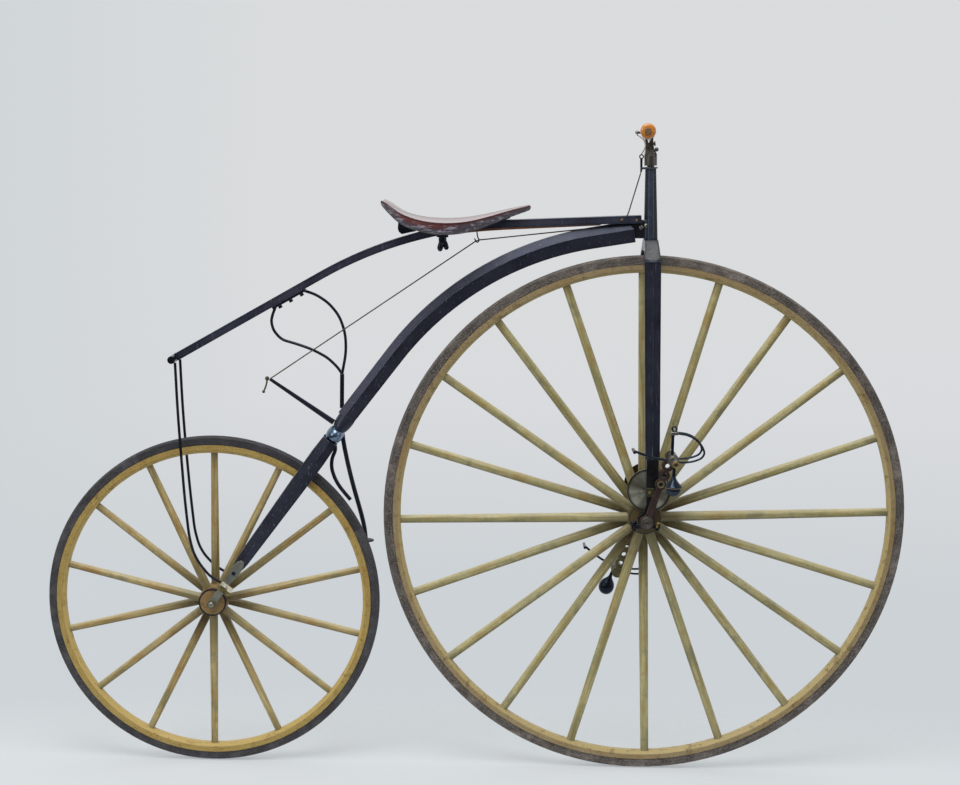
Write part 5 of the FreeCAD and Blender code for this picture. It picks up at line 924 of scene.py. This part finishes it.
saddle_mesh = bpy.data.meshes.new("saddle_leather")
shape = bmesh.new()
rings = []
shares = []
for ahead_mm, top, half, side, crown in between(stations, 4):
    right = half_section(top, half, side, crown)
    left = [(-y, z) for y, z in right[1:-1]][::-1]
    rings.append([shape.verts.new((ahead_mm / 1000, -y / 1000, z / 1000)) for y, z in right + left])
    down = [n / (len(right) - 1) for n in range(len(right))]
    shares += down + down[1:-1][::-1]
for first, second in zip(rings, rings[1:]):
    for n in range(len(first)):
        shape.faces.new((first[n], first[n - 1], second[n - 1], second[n]))

# Each end is closed by bands that run across from the top to the underside.
for ring in (rings[0], rings[-1]):
    for way_round in (1, -1):
        row = [ring[(way_round * n) % len(ring)] for n in range(len(right))]
        n, m = 0, len(row) - 1
        while m - n > 2:
            shape.faces.new((row[n], row[n + 1], row[m - 1], row[m]))
            n, m = n + 1, m - 1
        if m - n == 2:
            shape.faces.new((row[n], row[n + 1], row[m]))
bmesh.ops.recalc_face_normals(shape, faces=shape.faces)
for face in shape.faces:
    face.smooth = True
shape.to_mesh(saddle_mesh)
shape.free()

# How far round each half section a point lies, from the middle of the seat to the middle underneath.
saddle_mesh.attributes.new("down_the_side", "FLOAT", "POINT").data.foreach_set("value", shares)
saddle = bpy.data.objects.new("saddle_leather", saddle_mesh)
bpy.context.scene.collection.objects.link(saddle)
smooth = saddle.modifiers.new("smooth", "SUBSURF")
smooth.levels = 1
smooth.render_levels = 2

material, tree = blank_material("polished_cowhide_with_sheen_painted")
at = add(tree, "TexCoord").outputs["Object"]
patch = add(tree, "TexNoise", {"Vector": at, "Scale": 1000 / 46, "Detail": 5.0, "Roughness": 0.6})
crackle = add(tree, "TexVoronoi", {"Vector": at, "Scale": 1000 / 1.6}, feature="DISTANCE_TO_EDGE")
crease_at = add(tree, "Mapping", {"Vector": at, "Scale": (0.25, 1.0, 1.0)})
crease = add(tree, "TexNoise", {"Vector": crease_at, "Scale": 1000 / 6, "Detail": 5.0, "Roughness": 0.65})
colour = add(tree, "ValToRGB", {"Fac": patch}, stops=(
    (0.30, "#4a2a26"), (0.55, "#6a4440"), (0.78, "#85605a")))
down = add(tree, "Attribute", attribute_name="down_the_side").outputs["Fac"]
# A pale sheen is painted across the seat, less on its middle line; use has polished it as well.
top_sheen_and_wear = add(tree, "ValToRGB", {"Fac": down}, stops=(
    (0.02, "#404040"), (0.16, "#c0c0c0"), (0.29, "#e8e8e8"), (0.345, "#282828"), (0.38, "#000000")))
colour = add(tree, "Mix", {"Factor": top_sheen_and_wear, "A": colour, "B": "#c4b8be"}, data_type="RGBA")
# Down the side a reflection is painted: a dark line of painted shade under the welt, then grey purple,
# lightest a little below the middle and darker to the bottom.
side_tone = add(tree, "ValToRGB", {"Fac": down}, stops=(
    (0.38, "#5c2c28"), (0.425, "#2a0f0f"), (0.455, "#4a1f1c"), (0.50, "#4e4349"), (0.58, "#575059"),
    (0.66, "#37313a"), (1.0, "#2b2326")))
colour = coat(tree, colour, down, 0.37, 0.41, 1.0, side_tone)

# The side is reddest under the welt, from the seat point back to just ahead of the tail.
under_welt = add(tree, "ValToRGB", {"Fac": down}, stops=(
    (0.44, "#000000"), (0.47, "#ffffff"), (0.52, "#ffffff"), (0.58, "#000000")))
ahead = add(tree, "SeparateXYZ", {"Vector": at}).outputs["X"]
rearward = add(tree, "MapRange", {"Value": ahead, "From Min": 0.03, "From Max": -0.03, "To Max": 0.8})
tail = add(tree, "MapRange", {"Value": ahead, "From Min": -0.118, "From Max": -0.09})
reddened = add(tree, "Math", {0: under_welt, 1: rearward}, operation="MULTIPLY")
reddened = add(tree, "Math", {0: reddened, 1: tail}, operation="MULTIPLY")
colour = add(tree, "Mix", {"Factor": reddened, "A": colour, "B": "#6a3028"}, data_type="RGBA")

# Long pale streaks low on the sides are a purple bloom and a painted highlight.
shine_at = add(tree, "Mapping", {"Vector": at, "Scale": (0.14, 1.0, 1.0)})
shine = add(tree, "TexNoise", {"Vector": shine_at, "Scale": 1000 / 6, "Detail": 5.0, "Roughness": 0.7})
bloom_and_highlight = add(tree, "MapRange", {"Value": shine, "From Min": 0.50, "From Max": 0.64, "To Max": 0.95})
low_side = add(tree, "ValToRGB", {"Fac": down}, stops=(
    (0.47, "#000000"), (0.53, "#ffffff"), (0.59, "#ffffff"), (0.66, "#000000")))
bloom_and_highlight = add(tree, "Math", {0: bloom_and_highlight, 1: low_side}, operation="MULTIPLY")
colour = add(tree, "Mix", {"Factor": bloom_and_highlight, "A": colour, "B": "#b3b1bd"}, data_type="RGBA")
rough = add(tree, "MapRange", {"Value": patch, "From Min": 0.3, "From Max": 0.7, "To Min": 0.26,
                               "To Max": 0.44})
relief = add(tree, "Bump", {"Height": crackle, "Distance": 0.00012,
                            "Normal": add(tree, "Bump", {"Height": crease, "Distance": 0.0005})})
finish(tree, {"Base Color": colour, "Roughness": rough, "IOR": 1.5, "Coat Weight": 0.5,
              "Coat Roughness": 0.22, "Normal": relief})
saddle_mesh.materials.append(material)
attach(saddle, "frame")
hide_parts("saddle_pad")


# ---------------------------------------------------------------- brake cord
# Three-strand hemp, laid at a slant, waxed and darkened by handling.
# Its short end bows forward to the pin under the handlebar, where less wax leaves it paler.

def laid_hemp(name, groove, wax, yarn_colour):
    """Matt hemp with slanted strands four millimetres apart, and paler yarn where it is frayed."""
    material, tree = blank_material(name)
    at = add(tree, "TexCoord").outputs["Object"]
    slanted = add(tree, "Mapping", {"Vector": at, "Rotation": (0, 0.35, 0.5)})
    strand = add(tree, "TexWave", {"Vector": slanted, "Scale": 1000 / 4.0 / 3.14, "Distortion": 0.6,
                                   "Detail": 1.0})
    yarn = add(tree, "TexNoise", {"Vector": at, "Scale": 1000 / 1.2, "Detail": 3.0, "Roughness": 0.6})
    colour = add(tree, "ValToRGB", {"Fac": strand}, stops=((0.2, groove), (0.75, wax)))
    colour = coat(tree, colour, yarn, 0.5, 0.8, 1.0, yarn_colour)
    finish(tree, {"Base Color": colour, "Roughness": 0.8, "IOR": 1.5,
                  "Normal": add(tree, "Bump", {"Height": strand, "Distance": 0.0004})})
    return material


waxed_hemp = laid_hemp("waxed_hemp", "#2a241d", "#5d5040", "#8a7a5e")
dress("brake_cord", waxed_hemp)
dress("cord_knot", waxed_hemp)

pale_hemp = laid_hemp("pale_hemp", "#a69c88", "#d2cab6", "#e8e2d2")
route = ((0.39396, 0, 0.1382), (0.3992, 0, 0.1465), (0.4026, 0, 0.1560), (0.3996, 0, 0.1655),
         (0.3925, 0, 0.1722), (0.38384, 0, 0.1773))
short_cord = bent_rod("short_cord", route, pale_hemp, radius=0.0014, order=3, steps=8)
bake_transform(short_cord)
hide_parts("brake_cord_top")
